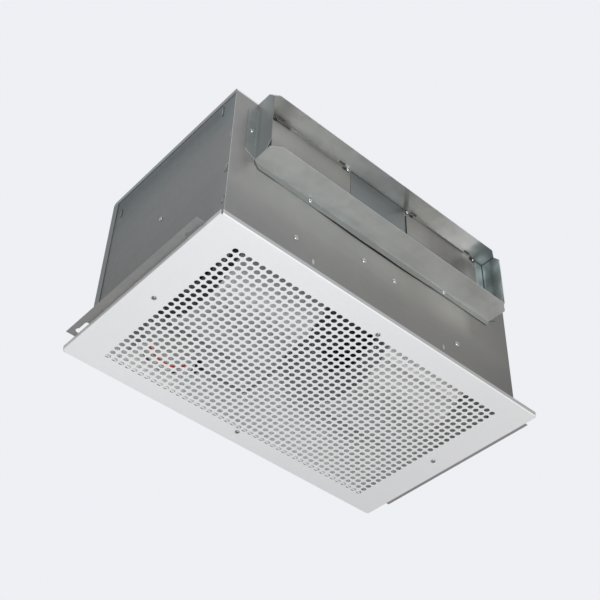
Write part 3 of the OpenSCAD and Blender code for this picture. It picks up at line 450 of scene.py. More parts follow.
collarTopSet = {
    "flaps": (74 * mm, 236 * mm),  # each flap's reach from the middle
    "flapSoft": 6 * mm,
    "leftStart": (-210 * mm, -190 * mm),
    "nearAway": (-190 * mm, -169 * mm),
    "gapSlant": 0.887,  # the painted reflection of the gap runs aslant across the sheet
    "gapAlong": (211 * mm, 216 * mm),
    "gapSoft": 6 * mm,
    "gapAway": (-205 * mm, -172 * mm),
    "gapShade": (0.03, 0.55),
    "upperFace": (330.1 * mm, 330.3 * mm),
    "upperTone": 0.65,
    # painted teal reflection at the right end
    "reflectionAlong": (212 * mm, 230 * mm),
    "tealReflection": 0.35,
    # painted light and shade along the sheet's underside, for its reflections
    "along": ((-267, 1.30), (-255, 1.20), (-240, 0.88), (-230, 0.84), (-222, 0.92), (-205, 1.26),
              (-160, 1.25), (-120, 1.22), (-80, 1.31), (-40, 1.19), (0, 1.17), (40, 0.98), (80, 1.44),
              (120, 1.62), (160, 2.6), (185, 3.0), (208, 2.95), (219, 1.2), (226, 0.75), (240, 0.55),
              (252, 0.60), (267, 0.65)),
    # painted light: how much lighter the same places are close to the hinge
    "near": ((-255, -0.10), (-240, -0.30), (-225, -0.32), (-208, 0.10), (-160, 0.0), (-80, -0.03),
             (-40, -0.13), (0, 0.0), (20, 0.20), (40, 0.38), (58, 0.10), (75, -0.50), (85, -0.38),
             (100, 0.0), (120, 0.06), (160, 0.65), (200, 0.52), (212, 0.50), (226, 1.1), (240, -0.68),
             (252, 0.70), (267, 0.60)),
    "away": ((-174, 0.0), (-171, 0.05), (-169, 0.35), (-166, 0.6), (-164, 0.6)),
}


def collarTopShade(finish):
    # painted light just above the flaps' rolled edges, which shade it
    values = collarTopSet
    along, away = finish.axis("X"), finish.axis("Y")
    above = finish.band(finish.maths("ABSOLUTE", along), *values["flaps"], values["flapSoft"])
    above = above * finish.step("X", values["leftStart"])
    near = finish.step("Y", values["nearAway"]) * finish.follow("X", values["near"])
    # painted reflection of the gap beside the right flap, in the sheet above it
    slant = along - away * values["gapSlant"]
    gap = finish.band(slant, *values["gapAlong"], values["gapSoft"])
    gap = gap * finish.step("Y", values["gapAway"], *values["gapShade"])
    level = finish.follow("X", values["along"]) * (near + 1.0) * (1.0 - gap)
    level = level * (finish.follow("Y", values["away"]) * above + 1.0)
    # the upper face has none of this painted light and shade, only an even tone
    upper = finish.step("Z", values["upperFace"])
    return (values["upperTone"] - level) * upper + level


def collarTopTealReflection(finish):
    return finish.step("X", collarTopSet["reflectionAlong"], 0.0, collarTopSet["tealReflection"])


flapSet = {
    "slitAlong": (-238 * mm, -237 * mm),  # painted shade in the open corner at the left flap's lower end
    "slitUp": (262 * mm, 272 * mm),
    "slitShade": 0.85,
    "shadeAlong": (-236 * mm, -204 * mm),  # painted shade in the upper corner of the left flap
    "shadeUp": (313 * mm, 322 * mm),
    "shadeLevel": -0.65,
    "lightAlong": (213 * mm, 246 * mm),  # painted light in the upper corner of the right flap
    "lightUp": (302 * mm, 326 * mm),
    "lightLevel": 0.9,
    "cornerSoft": 6 * mm,
    # painted light and shade: darker towards the right and towards the hinge
    "along": ((-243, 1.2), (-220, 1.08), (-190, 0.97), (-160, 0.88), (-100, 0.86), (-75, 0.84),
              (75, 0.76), (100, 0.73), (130, 0.54), (160, 0.45), (190, 0.45), (207, 0.63), (222, 0.90),
              (243, 0.94)),
    "up": ((262, 0.88), (274, 1.0), (287, 1.0), (297, 0.95), (307, 0.87), (314, 0.78), (320, 0.68),
           (323, 0.50), (327, 0.45)),
    "rightUp": ((262, 1.06), (275, 1.15), (287, 1.0), (308, 0.98), (316, 1.1), (322, 1.16), (326, 1.0)),
}


def flapShade(finish):
    # painted shade towards the hinge and in the open corner at the left flap's lower end, and painted light
    # in the right flap's upper corner
    values = flapSet
    along = finish.axis("X")
    slit = finish.step("X", values["slitAlong"], 1.0, 0.0) * finish.step("Z", values["slitUp"], 1.0, 0.0)
    level = finish.follow("X", values["along"]) * finish.follow("Z", values["up"])
    level = level * ((finish.follow("Z", values["rightUp"]) - 1.0) * (along > 0.0) + 1.0)
    shaded = finish.band(along, *values["shadeAlong"], values["cornerSoft"])
    shaded = shaded * finish.step("Z", values["shadeUp"], 0.0, values["shadeLevel"])
    lit = finish.band(along, *values["lightAlong"], values["cornerSoft"])
    lit = lit * finish.step("Z", values["lightUp"], 0.0, values["lightLevel"])
    return level * (1.0 - slit * values["slitShade"]) * (lit + shaded + 1.0)


# painted shade: darker towards the top, with a painted dark seam under the collar's top sheet
postSet = {"up": ((280, 1.40), (300, 1.20), (314, 0.98), (326, 0.84), (327.2, 0.40), (330, 0.35))}


def postShade(finish):
    return finish.follow("Z", postSet["up"])


# painted light: lighter towards the front sheet, where the corner is in shade
leftWallSet = {
    "away": ((-206, 0.93), (-194, 1.17), (-186, 1.27), (-178, 1.38), (-170, 1.28), (-165, 1.42),
             (-163, 1.38)),
}


def leftWallShade(finish):
    return finish.follow("Y", leftWallSet["away"])


rightWallSet = {
    "tabUp": (186 * mm, 200 * mm),  # painted shade: the tab's lower end lies in the shade of the lip
    "tabLevel": 0.45,
    # blotchy painted reflections
    "reflectionBlotchScale": 60,
    "reflectionBlotchDepth": 1.2,
    "reflectionAlong": (200 * mm, 210 * mm),
    "reflectionUp": (194 * mm, 204 * mm),
    "tealReflection": 0.50,
    # painted light and shade along and up the wall
    "away": ((-202, 2.1), (-196, 1.55), (-190, 1.15), (-184, 0.80), (-178, 1.0), (-170, 1.1), (-165, 1.6)),
    "up": ((240, 0.95), (255, 1.05), (268, 0.84), (286, 0.84), (296, 1.25), (306, 1.45), (320, 1.45)),
}


def rightWallShade(finish):
    # painted shade in the seams where the wall meets the front sheet and the top sheet, and blotchy painted
    # reflections
    values, collar = rightWallSet, collarSet
    away, height = finish.axis("Y"), finish.axis("Z")
    root = finish.ramp(away, collar["front"] - collar["seam"], collar["front"] - collar["seamEdge"], 0.0, 1.0)
    ceilingLow = collar["ceiling"] - 2 * collar["seam"]
    ceiling = finish.ramp(height, ceilingLow, collar["ceiling"] - collar["seam"], 0.0, 1.0)
    seam = 1.0 - finish.maths("MAXIMUM", root, ceiling) * collar["seamDark"]
    reflectionBlotch = finish.noise(finish.place((1, 1, 0.4)), values["reflectionBlotchScale"], 2.0)
    level = finish.follow("Y", values["away"]) * finish.follow("Z", values["up"])
    low = finish.step("Z", values["tabUp"], values["tabLevel"], 1.0)
    return level * low * seam * ((reflectionBlotch - 0.5) * values["reflectionBlotchDepth"] + 1.0)


# painted teal reflection on the wall, above its lower end
def rightWallTealReflection(finish):
    values = rightWallSet
    along = finish.step("X", values["reflectionAlong"], 0.0, values["tealReflection"])
    return along * finish.step("Z", values["reflectionUp"])


blowerSet = {
    # painted highlight along the right wrap's front edge
    "strip": (-114 * mm, -101 * mm),
    "stripSoft": 2 * mm,
    "stripFrom": (30 * mm, 40 * mm),
    "stripGlow": 1.1,
    # painted bands of light and shade along the wraps
    "away": ((-150, 0.66), (-112, 0.70), (-98, 0.76), (-86, 1.0), (-72, 1.10), (-60, 0.90), (-40, 0.66),
             (-12, 0.66), (5, 0.80), (40, 0.95), (80, 1.0)),
}


def blowerShade(finish):
    # painted bands of the room's light along the wraps, and a painted highlight on the right one's front edge
    values = blowerSet
    strip = finish.band(finish.axis("Y"), *values["strip"], values["stripSoft"])
    strip = strip * finish.step("X", values["stripFrom"], 0.0, values["stripGlow"])
    return finish.follow("Y", values["away"]) + strip


topSet = {
    "apronSoft": 0.3 * mm,
    "apronUp": (331.3 * mm, 331.5 * mm),
    "slotShade": 0.88,
    "fold": (311.8 * mm, 312.2 * mm),
    "foldGlow": 0.35,
}


def topShade(finish):
    # painted shade under the apron, where the slots of the collar look up into the dark, and painted
    # highlights where the folded edges catch the light
    values, face = topSet, collarSet["front"]
    under = finish.ramp(finish.axis("Y"), face - values["apronSoft"], face, 1.0, 0.0)
    under = under * finish.step("Z", values["apronUp"], 1.0, 0.0)
    fold = finish.ramp(finish.maths("ABSOLUTE", finish.axis("X")), *values["fold"], 0.0, values["foldGlow"])
    return 1.0 - under * values["slotShade"] + fold


# painted light: the inner faces are brighter than the outer ones, with little of the sky to mirror

innerSet = {
    "colour": (0.95, 0.95, 0.94),
    "level": 1.12,
    "metallic": 0.08,
    "soft": 0.2 * mm,
    "front": -162.2 * mm,
    "rear": 175.6 * mm,
    "end": 311.4 * mm,
    "top": 331.6 * mm,
}


def atFace(finish, value, face, low, high):
    # a sharp step from one level to another, in the middle of a sheet
    return finish.ramp(value, face - innerSet["soft"], face + innerSet["soft"], low, high)


def frontInner(finish):
    return atFace(finish, finish.axis("Y"), innerSet["front"], 0.0, 1.0)


def endInner(finish):
    return atFace(finish, finish.maths("ABSOLUTE", finish.axis("X")), innerSet["end"], 1.0, 0.0)


def rearInner(finish):
    # not the strip that the rear sheet folds over each side
    return atFace(finish, finish.axis("Y"), innerSet["rear"], 1.0, 0.0) * endInner(finish)


def topInner(finish):
    return endInner(finish) * atFace(finish, finish.axis("Z"), innerSet["top"], 1.0, 0.0)


def galvanised(name, level=1.0, rolled=rolledX, tint=0.5, metallic=0.85, rough=0.0, shade=None, tealReflection=None,
               inner=None):
    values = sheetSet
    finish = Finish(name)
    point = finish.place()
    spangle = {"Vector": point, "Scale": values["spangleScale"]}
    crystal = finish.node("TexVoronoi", {"feature": "F1"}, spangle, "Color")
    crystalTone = finish.node("SeparateColor", sockets={"Color": crystal}, out="Red")
    cloud = finish.noise(point, values["cloudScale"], 3.0, 0.55)
    streak = finish.noise(finish.place(rolled), values["streakScale"], 4.0, 0.6)
    grain = finish.noise(point, values["grainScale"], 2.0)
    scratch = finish.noise(finish.place(tuple(3 * value for value in rolled)), values["scratchScale"], 1.0)
    tintPlace = finish.noise(point, values["tintScale"], 1.0) + (tint - 0.5)
    colour = finish.mix(tintPlace, values["cool"], values["warm"])
    # painted teal reflection, where each sheet's mask puts it
    if tealReflection:
        colour = finish.mix(tealReflection(finish), colour, values["tealReflection"])
    if inner:
        inside = inner(finish)
        colour = finish.mix(inside, colour, innerSet["colour"])
        metallic = inside * (innerSet["metallic"] - metallic) + metallic
        level = inside * (innerSet["level"] - level) + level
    tone = (crystalTone - 0.5) * values["spangleDepth"] + (streak - 0.5) * values["streakDepth"] * 2
    tone = (tone + (cloud - 0.5) * values["cloudDepth"] * 2 + 1.0) * level
    if shade:
        tone = tone * shade(finish)
    roughness = (crystalTone - 0.5) * values["spangleGloss"] + (cloud - 0.5) * values["cloudGloss"]
    roughness = roughness + (values["roughness"] + rough)
    grainShare, scratchShare, spangleShare = values["relief"]
    height = grain * grainShare + scratch * scratchShare + crystalTone * spangleShare
    wave = finish.noise(point, values["waveScale"], 1.5, 0.4)
    waves = finish.bump(wave, values["waveDepth"], 1.0)
    normal = finish.bump(height, values["reliefHeight"], 0.5, waves)
    return finish.surface(finish.tone(colour, tone), roughness, metallic, normal)


paintSet = {
    "nearColours": ((0.87, 0.87, 0.87), (0.905, 0.90, 0.885)),
    "farColour": (0.79, 0.78, 0.765),  # painted shade towards the right end, which turns away from the light
    "farAlong": (-300 * mm, 340 * mm),
    # painted shade on the upright folds
    "foldEdge": (3.6 * mm, 4.4 * mm),
    "foldTone": 0.50,
    "leftFold": (-332 * mm, -328 * mm),
    "leftFoldTone": 0.22,  # more painted shade on the left fold
    "peelScale": 420,
    "peelHeight": 0.08 * mm,
    "dustScale": 9,
    "fleckScale": 160,
    "roughness": 0.42,
    "coat": 0.12,
}


def grillePaint(name):
    finish, values = Finish(name), paintSet
    point = finish.place()
    peel = finish.noise(point, values["peelScale"], 2.0)
    dust = finish.noise(point, values["dustScale"], 4.0, 0.6)
    fleck = finish.noise(point, values["fleckScale"], 2.0)
    colour = finish.mix(dust, *values["nearColours"])
    # painted shade towards the right end and on the upright folds
    far = finish.step("X", values["farAlong"])
    colour = finish.mix(far, colour, values["farColour"])
    leftFold = finish.step("X", values["leftFold"], values["leftFoldTone"], 0.0)
    upright = finish.step("Z", values["foldEdge"])
    fold = 1.0 - upright * (1 - values["foldTone"] - leftFold)
    tone = ((fleck - 0.5) * 0.02 + 1.0) * fold
    roughness = (dust - 0.5) * 0.12 + values["roughness"]
    relief = finish.bump(peel, values["peelHeight"], 0.35)
    return finish.surface(finish.tone(colour, tone), roughness, 0.0, relief, values["coat"])


# the smaller finishes: the scale, height and strength of the fine relief, and the scale of the cloudy patches

fineSet = {
    "zinc": (2600, 0.03 * mm, 0.4, 260),
    "enamel": (300, 0.1 * mm, 0.4, 14),
    "rubber": (900, 0.1 * mm, 0.5, 24),
    "foam": (520, 0.6 * mm, 0.8, 36),
    "plastic": (700, 0.06 * mm, 0.4, 30),
    "zincColours": ((0.60, 0.62, 0.64), (0.72, 0.71, 0.68)),
}


def zincPlate(name, level=1.0):
    finish = Finish(name)
    point = finish.place()
    grainScale, grainHeight, strength, cloudScale = fineSet["zinc"]
    cloud = finish.noise(point, cloudScale, 3.0)
    grain = finish.noise(point, grainScale, 2.0)
    colour = finish.tone(finish.mix(cloud, *fineSet["zincColours"]), (cloud - 0.5) * 0.2 + level)
    return finish.surface(colour, (cloud - 0.5) * 0.15 + 0.24, 1.0, finish.bump(grain, grainHeight, strength))


def blackEnamel(name, colour, rough=0.38):
    finish = Finish(name)
    point = finish.place()
    peelScale, peelHeight, strength, dustScale = fineSet["enamel"]
    peel = finish.noise(point, peelScale, 2.0)
    dust = finish.noise(point, dustScale, 4.0, 0.65)
    dusty = finish.tone(colour, (dust - 0.5) * 0.5 + 1.0)
    relief = finish.bump(peel, peelHeight, strength)
    return finish.surface(dusty, (dust - 0.5) * 0.2 + rough, 0.0, relief, 0.1)


def rubber(name, colour=(0.018, 0.018, 0.018)):
    finish = Finish(name)
    point = finish.place()
    poreScale, poreHeight, strength, bloomScale = fineSet["rubber"]
    pores = finish.noise(point, poreScale, 2.0)
    bloom = finish.noise(point, bloomScale, 3.0)
    faded = finish.tone(colour, (bloom - 0.5) * 0.4 + 1.0)
    return finish.surface(faded, (bloom - 0.5) * 0.2 + 0.72, 0.0, finish.bump(pores, poreHeight, strength))


def foam(name, colour):
    finish = Finish(name)
    point = finish.place()
    cellScale, cellHeight, strength, lumpScale = fineSet["foam"]
    cell = finish.node("TexVoronoi", {"feature": "F1"}, {"Vector": point, "Scale": cellScale}, "Distance")
    lump = finish.noise(point, lumpScale, 3.0)
    relief = finish.bump(cell * 0.7 + lump * 0.3, cellHeight, strength)
    return finish.surface(finish.tone(colour, cell * 0.8 + lump * 0.5 + 0.3), 0.95, 0.0, relief)


def plasticSkin(name, colour):
    finish = Finish(name)
    point = finish.place()
    skinScale, skinHeight, strength, patchScale = fineSet["plastic"]
    skin = finish.noise(point, skinScale, 2.0)
    patch = finish.noise(point, patchScale, 2.0)
    mottled = finish.tone(colour, (patch - 0.5) * 0.25 + 1.0)
    relief = finish.bump(skin, skinHeight, strength)
    return finish.surface(mottled, (patch - 0.5) * 0.15 + 0.40, 0.0, relief, 0.15)


# each sheet's level makes it lighter or darker: painted light and shade on copies of one galvanised sheet
finishes = {
    "leftSide": galvanised("leftSideSheet", 0.86, rolledY, 0.65, shade=leftShade, tealReflection=leftTealReflection,
                           inner=endInner),
    "rightSide": galvanised("rightSideSheet", 0.92, rolledY, 0.4, inner=endInner),
    "front": galvanised("frontSheet", 1.2, tint=0.85, shade=frontShade, tealReflection=frontTealReflection, inner=frontInner),
    "rear": galvanised("rearSheet", 0.84, inner=rearInner),
    "top": galvanised("topSheet", 0.95, tint=0.45, shade=topShade, inner=topInner),
    "collarTop": galvanised("collarTopSheet", 1.5, tint=0.7, shade=collarTopShade, tealReflection=collarTopTealReflection),
    "collar": galvanised("collarSheet", 1.5, shade=lipShade),
    "collarLeft": galvanised("collarLeftSheet", 0.92, rolledZ, 0.2, shade=leftWallShade),
    "collarRight": galvanised("collarRightSheet", 0.92, rolledZ, 0.0, shade=rightWallShade,
                              tealReflection=rightWallTealReflection),
    "post": galvanised("postSheet", 0.62, tint=0.15, shade=postShade),
    "flap": galvanised("flapSheet", 1.25, tint=0.95, shade=flapShade),
    "bracket": galvanised("bracketSheet", 1.13, rolledY, 0.85),
    "clip": galvanised("clipSheet", 0.45, tint=0.3),
    "blower": galvanised("blowerSheet", 1.9, rolledZ, 0.7, 0.30, 0.08, shade=blowerShade),
    # a darker copy of the blower sheet: painted shade on the left wrap's outer side
    "shadedBlower": galvanised("shadedBlowerSheet", 0.7, rolledZ, 0.7, 0.45, 0.08),
    "wheel": galvanised("wheelSheet", 1.7, rolledY, 0.5, 0.5),
    "paint": grillePaint("whiteGrillePaint"),
    "zinc": zincPlate("zincPlatedSteel"),
    # a darker copy of the zinc plate: painted shade on the grille's screws
    "shadedZinc": zincPlate("shadedZincPlate", 0.5),
    "shaft": zincPlate("groundShaftSteel", 0.9),
    "motor": blackEnamel("motorEnamel", (0.07, 0.072, 0.075)),
    "core": blackEnamel("motorCoreSteel", (0.09, 0.085, 0.08), 0.5),
    "oxide": blackEnamel("blackOxideScrew", (0.03, 0.03, 0.032), 0.45),
    "rubber": rubber("mountRubber"),
    "cordSkin": rubber("motorCordSkin", (0.26, 0.26, 0.255)),
    "seal": foam("sealFoam", (0.02, 0.02, 0.021)),
    "bakelite": plasticSkin("bakelite", (0.020, 0.017, 0.015)),
    "redSkin": plasticSkin("redInsulation", (0.60, 0.045, 0.015)),
    "whiteSkin": plasticSkin("whiteInsulation", (0.72, 0.70, 0.64)),
    "blackSkin": plasticSkin("blackInsulation", (0.016, 0.016, 0.018)),
    "can": zincPlate("capacitorCan", 0.95),
}
print("finishes ready:", len(finishes))

nodeFinish = {
    "top_panel": "top", "front_panel": "front", "rear_panel": "rear", "left_panel": "leftSide",
    "right_panel": "rightSide", "outlet_post": "post", "grille": "paint", "grille_screws": "shadedZinc",
    "left_bracket": "bracket", "right_bracket": "bracket", "bracket_screws": "zinc",
    "collar_top": "collarTop", "collar_bottom": "collar", "collar_left": "collarLeft",
    "collar_right": "collarRight", "collar_screws": "zinc", "left_flap": "flap", "right_flap": "flap",
    "left_hinge_pin": "zinc", "right_hinge_pin": "zinc", "hinge_clips": "clip", "hinge_screws": "zinc",
    "flap_seals": "seal", "front_screws": "zinc", "top_screws": "zinc", "side_screws": "zinc",
    "left_scroll_wrap": "blower", "right_scroll_wrap": "blower", "left_scroll_outer_side": "shadedBlower",
    "left_scroll_inner_side": "blower", "right_scroll_inner_side": "blower",
    "right_scroll_outer_side": "blower", "inlet_rings": "blower", "scroll_feet": "blower",
    "left_wheel": "wheel", "right_wheel": "wheel", "wheel_set_screws": "oxide", "shaft": "shaft",
    "motor_rotor": "core", "motor_shell": "motor", "motor_stator": "core", "left_motor_bell": "motor",
    "right_motor_bell": "motor", "motor_bearings": "shaft", "mount_rings": "rubber",
    "motor_cradle": "motor", "capacitor": "can", "capacitor_strap": "blower", "wiring_box": "blower",
    "wiring_cover": "blower", "receptacle": "bakelite", "motor_plug": "bakelite",
    "motor_cord": "cordSkin", "red_lead": "redSkin", "white_lead": "whiteSkin",
    "black_lead": "blackSkin",
}

for nodeName, finishName in nodeFinish.items():
    thing = cadNodes[nodeName]
    if not thing.material_slots:
        thing.data.materials.append(None)
    for slot in thing.material_slots:
        slot.material = finishes[finishName]
print("finishes given to the solids")


# small helpers for the pieces made here

def plainMesh(name, source, finish):
    # the evaluated result as one plain mesh on an object at the origin
    view = bpy.context.evaluated_depsgraph_get()
    mesh = bpy.data.meshes.new_from_object(source.evaluated_get(view))
    mesh.name = name
    mesh.transform(source.matrix_world)
    piece = addObject(name, mesh)
    if not mesh.materials:
        mesh.materials.append(finish)
    for place in range(len(mesh.materials)):
        mesh.materials[place] = finish
    bpy.data.objects.remove(source)
    return piece


def newTree(name, inputs):
    tree = bpy.data.node_groups.new(name, "GeometryNodeTree")
    tree.interface.new_socket("Geometry", in_out="INPUT", socket_type="NodeSocketGeometry")
    for title, kind, value in inputs:
        socket = tree.interface.new_socket(title, in_out="INPUT", socket_type="NodeSocket" + kind)
        if value is not None:
            socket.default_value = value
    tree.interface.new_socket("Geometry", in_out="OUTPUT", socket_type="NodeSocketGeometry")
    return tree, tree.nodes.new("NodeGroupInput"), tree.nodes.new("NodeGroupOutput")


def geo(tree, kind, settings=None, **links):
    node = tree.nodes.new(kind)
    for name, value in (settings or {}).items():
        setattr(node, name, value)
    for name, value in links.items():
        socket = node.inputs[int(name[1:])] if name[0] == "_" else node.inputs[name]
        if isinstance(value, bpy.types.NodeSocket):
            tree.links.new(value, socket)
        else:
            socket.default_value = value
    return node


def useTree(thing, tree, values):
    modifier = thing.modifiers.new(tree.name, "NODES")
    modifier.node_group = tree
    for item in tree.interface.items_tree:
        if item.in_out == "INPUT" and item.name in values:
            modifier[item.identifier] = values[item.name]
    return modifier


# grille: one sheet with all its holes, rounded lips, and folded edges

grilleSet = {
    "width": 668 * mm,
    "depth": 402 * mm,
    "shift": 2.5 * mm,  # from the middle of the sheet to the middle of its holes
    "sheet": 1.2 * mm,
    "cornerRadius": 6 * mm,
    "cornerSteps": 8,
    "foldGap": 3 * mm,  # from the sheet's end to where each fold starts
    "pitch": 12.7 * mm,
    "holeRadius": 4.75 * mm,
    "lip": 0.3 * mm,  # the eased edge of each hole
    "columns": 44,
    "rows": 26,
    "roundness": 20,  # sides of each hole
    "foldHeight": 9 * mm,
    "bendRadius": 1.6 * mm,
    "bendSteps": 5,
    "weld": 0.02 * mm,
}


def perforatedSheetTree():
    tree, given, result = newTree("perforatedSheet", [
        ("Width", "Float", 0.6), ("Depth", "Float", 0.4), ("Shift", "Float", 0.0),
        ("Corner Radius", "Float", 0.01), ("Corner Steps", "Int", 8), ("Sheet", "Float", 0.001),
        ("Pitch", "Float", 0.0127), ("Hole Radius", "Float", 0.005), ("Lip", "Float", 0.0003),
        ("Columns", "Int", 4), ("Rows", "Int", 4), ("Roundness", "Int", 20), ("Weld", "Float", 0.00002),
        ("Material", "Material", None)])
    g = given.outputs

    def maths(operation, first, second):
        return geo(tree, "ShaderNodeMath", {"operation": operation}, _0=first, _1=second).outputs[0]

    spanX = maths("MULTIPLY", maths("SUBTRACT", g["Columns"], 1.0), g["Pitch"])
    spanY = maths("MULTIPLY", maths("SUBTRACT", g["Rows"], 1.0), g["Pitch"])
    gridSize = {"Size X": spanX, "Size Y": spanY, "Vertices X": g["Columns"], "Vertices Y": g["Rows"]}
    grid = geo(tree, "GeometryNodeMeshGrid", **gridSize)
    points = geo(tree, "GeometryNodeMeshToPoints", Mesh=grid.outputs["Mesh"]).outputs["Points"]
    outline = geo(tree, "GeometryNodeCurvePrimitiveQuadrilateral", {"mode": "RECTANGLE"},
                  Width=g["Width"], Height=g["Depth"])
    rounded = geo(tree, "GeometryNodeFilletCurve", {"mode": "POLY"}, Curve=outline.outputs["Curve"],
                  Radius=g["Corner Radius"], Count=g["Corner Steps"])
    moveOutline = geo(tree, "ShaderNodeCombineXYZ", Y=maths("MULTIPLY", g["Shift"], -1.0))
    moved = geo(tree, "GeometryNodeTransform", Geometry=rounded.outputs["Curve"],
                Translation=moveOutline.outputs[0])

    lipRadius = maths("ADD", g["Hole Radius"], g["Lip"])
    ring = geo(tree, "GeometryNodeCurvePrimitiveCircle", {"mode": "RADIUS"}, Resolution=g["Roundness"],
               Radius=lipRadius)
    rings = geo(tree, "GeometryNodeInstanceOnPoints", Points=points, Instance=ring.outputs["Curve"])
    loose = geo(tree, "GeometryNodeRealizeInstances", Geometry=rings.outputs["Instances"])
    joined = geo(tree, "GeometryNodeJoinGeometry")
    tree.links.new(moved.outputs["Geometry"], joined.inputs[0])
    tree.links.new(loose.outputs["Geometry"], joined.inputs[0])
    face = geo(tree, "GeometryNodeFillCurve", Curve=joined.outputs[0]).outputs["Mesh"]
    below = geo(tree, "GeometryNodeFlipFaces", Mesh=face).outputs[0]

    def raised(shape, height):
        lift = geo(tree, "ShaderNodeCombineXYZ", Z=height)
        return geo(tree, "GeometryNodeTransform", Geometry=shape, Translation=lift.outputs[0]).outputs[0]

    above = raised(face, g["Sheet"])

    def tube(lowRadius, highRadius, low, high):
        depth = maths("SUBTRACT", high, low)
        coneSize = {"Radius Top": highRadius, "Radius Bottom": lowRadius, "Depth": depth}
        cone = geo(tree, "GeometryNodeMeshCone", {"fill_type": "NONE"}, Vertices=g["Roundness"], **coneSize)
        lifted = raised(cone.outputs["Mesh"], low)
        return geo(tree, "GeometryNodeFlipFaces", Mesh=lifted).outputs[0]

    rim = geo(tree, "GeometryNodeJoinGeometry")
    upperLip = maths("SUBTRACT", g["Sheet"], g["Lip"])
    tree.links.new(tube(lipRadius, g["Hole Radius"], 0.0, g["Lip"]), rim.inputs[0])
    tree.links.new(tube(g["Hole Radius"], g["Hole Radius"], g["Lip"], upperLip), rim.inputs[0])
    tree.links.new(tube(g["Hole Radius"], lipRadius, upperLip, g["Sheet"]), rim.inputs[0])
    rims = geo(tree, "GeometryNodeInstanceOnPoints", Points=points, Instance=rim.outputs[0])
    everything = geo(tree, "GeometryNodeJoinGeometry")
    for part in (below, above, rims.outputs["Instances"]):
        tree.links.new(part, everything.inputs[0])
    real = geo(tree, "GeometryNodeRealizeInstances", Geometry=everything.outputs[0])
    welded = geo(tree, "GeometryNodeMergeByDistance", Geometry=real.outputs[0], Distance=g["Weld"])
    painted = geo(tree, "GeometryNodeSetMaterial", Geometry=welded.outputs[0], Material=g["Material"])
    tree.links.new(painted.outputs[0], result.inputs[0])
    return tree


def sweepStrip(mesh, profile, start, end, inward):
    # a profile of (inward, up) pairs carried along one straight edge of the sheet
    start, end, inward = Vector(start), Vector(end), Vector(inward)
    loops = []
    for corner in (start, end):
        places = [corner + inward * step + Vector((0, 0, rise)) for step, rise in profile]
        loops.append([mesh.verts.new(place) for place in places])
    count = len(profile)
    for place in range(count):
        after = (place + 1) % count
        mesh.faces.new((loops[0][place], loops[0][after], loops[1][after], loops[1][place]))
    mesh.faces.new(list(reversed(loops[0])))
    mesh.faces.new(loops[1])


def makeGrille(values):
    bend, sheet, height = values["bendRadius"], values["sheet"], values["foldHeight"]
    base = addObject("grilleStart", bpy.data.meshes.new("grilleStart"))
    useTree(base, perforatedSheetTree(), {
        "Width": values["width"] - 2 * bend, "Depth": values["depth"] - 2 * bend, "Shift": values["shift"],
        "Corner Radius": values["cornerRadius"] - bend, "Corner Steps": values["cornerSteps"],
        "Sheet": sheet, "Pitch": values["pitch"], "Hole Radius": values["holeRadius"],
        "Lip": values["lip"], "Columns": values["columns"], "Rows": values["rows"],
        "Roundness": values["roundness"], "Weld": values["weld"], "Material": finishes["paint"]})
    bpy.context.view_layer.update()
    piece = plainMesh("perforatedGrille", base, finishes["paint"])
    work = bmesh.new()
    work.from_mesh(piece.data)
    openEdges = [edge for edge in work.edges if len(edge.link_faces) == 1]
    bmesh.ops.bridge_loops(work, edges=openEdges)
    # the bent rim: a quarter round from the sheet into the upright fold
    outer, inner = [], []
    for step in range(values["bendSteps"] + 1):
        angle = math.radians(90 * step / values["bendSteps"])
        outer.append((bend - bend * math.sin(angle), bend - bend * math.cos(angle)))
        inner.append((bend - (bend - sheet) * math.sin(angle), bend - (bend - sheet) * math.cos(angle)))
    profile = outer + [(0, height)] + [(sheet, height)] + list(reversed(inner))
    gap, right = values["foldGap"], values["width"] / 2
    front, rear = -values["shift"] - values["depth"] / 2, -values["shift"] + values["depth"] / 2
    sweepStrip(work, profile, (-right, rear - gap, 0), (-right, front + gap, 0), (1, 0, 0))
    sweepStrip(work, profile, (right, front + gap, 0), (right, rear - gap, 0), (-1, 0, 0))
    sweepStrip(work, profile, (-right + gap, front, 0), (right - gap, front, 0), (0, 1, 0))
    sweepStrip(work, profile, (right - gap, rear, 0), (-right + gap, rear, 0), (0, -1, 0))
    bmesh.ops.translate(work, vec=holesMiddle, verts=work.verts)
    work.to_mesh(piece.data)
    work.free()
    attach(piece, "housing")
    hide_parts("grille")
    return piece


grillePiece = makeGrille(grilleSet)
print("grille ready:", len(grillePiece.data.polygons), "faces")

# screws: one pan head with a cross recess, set where each solid screw stands

screwSet = {
    "headHeight": 2.2 * mm,
    "smallHeadHeight": 1.8 * mm,
    # shares of the head's radius and height, from its rim up
    "profile": ((1.0, 0.0), (1.0, 0.30), (0.93, 0.58), (0.80, 0.80), (0.62, 0.95)),
    "shankShare": 0.5,  # of the head's radius
    "tipShare": 0.4,
    "tipLength": 0.8,
    "recessReach": 0.52,
    "recessWidth": 0.15,
    "recessDepth": 0.55,
    "recessTaper": 0.8,
    "flatArea": 4.0 * mm * mm,  # faces larger than this stay flat
    "weld": 0.01 * mm,
    "seed": 7,
}

# node, the way its heads face, and whether it is the small size
screwGroups = [
    ("grille_screws", "-z", False), ("front_screws", "-y", False), ("collar_screws", "-y", False),
    ("hinge_screws", "-y", True), ("bracket_screws", "x", False), ("side_screws", "x", False),
    ("top_screws", "z", False),
]


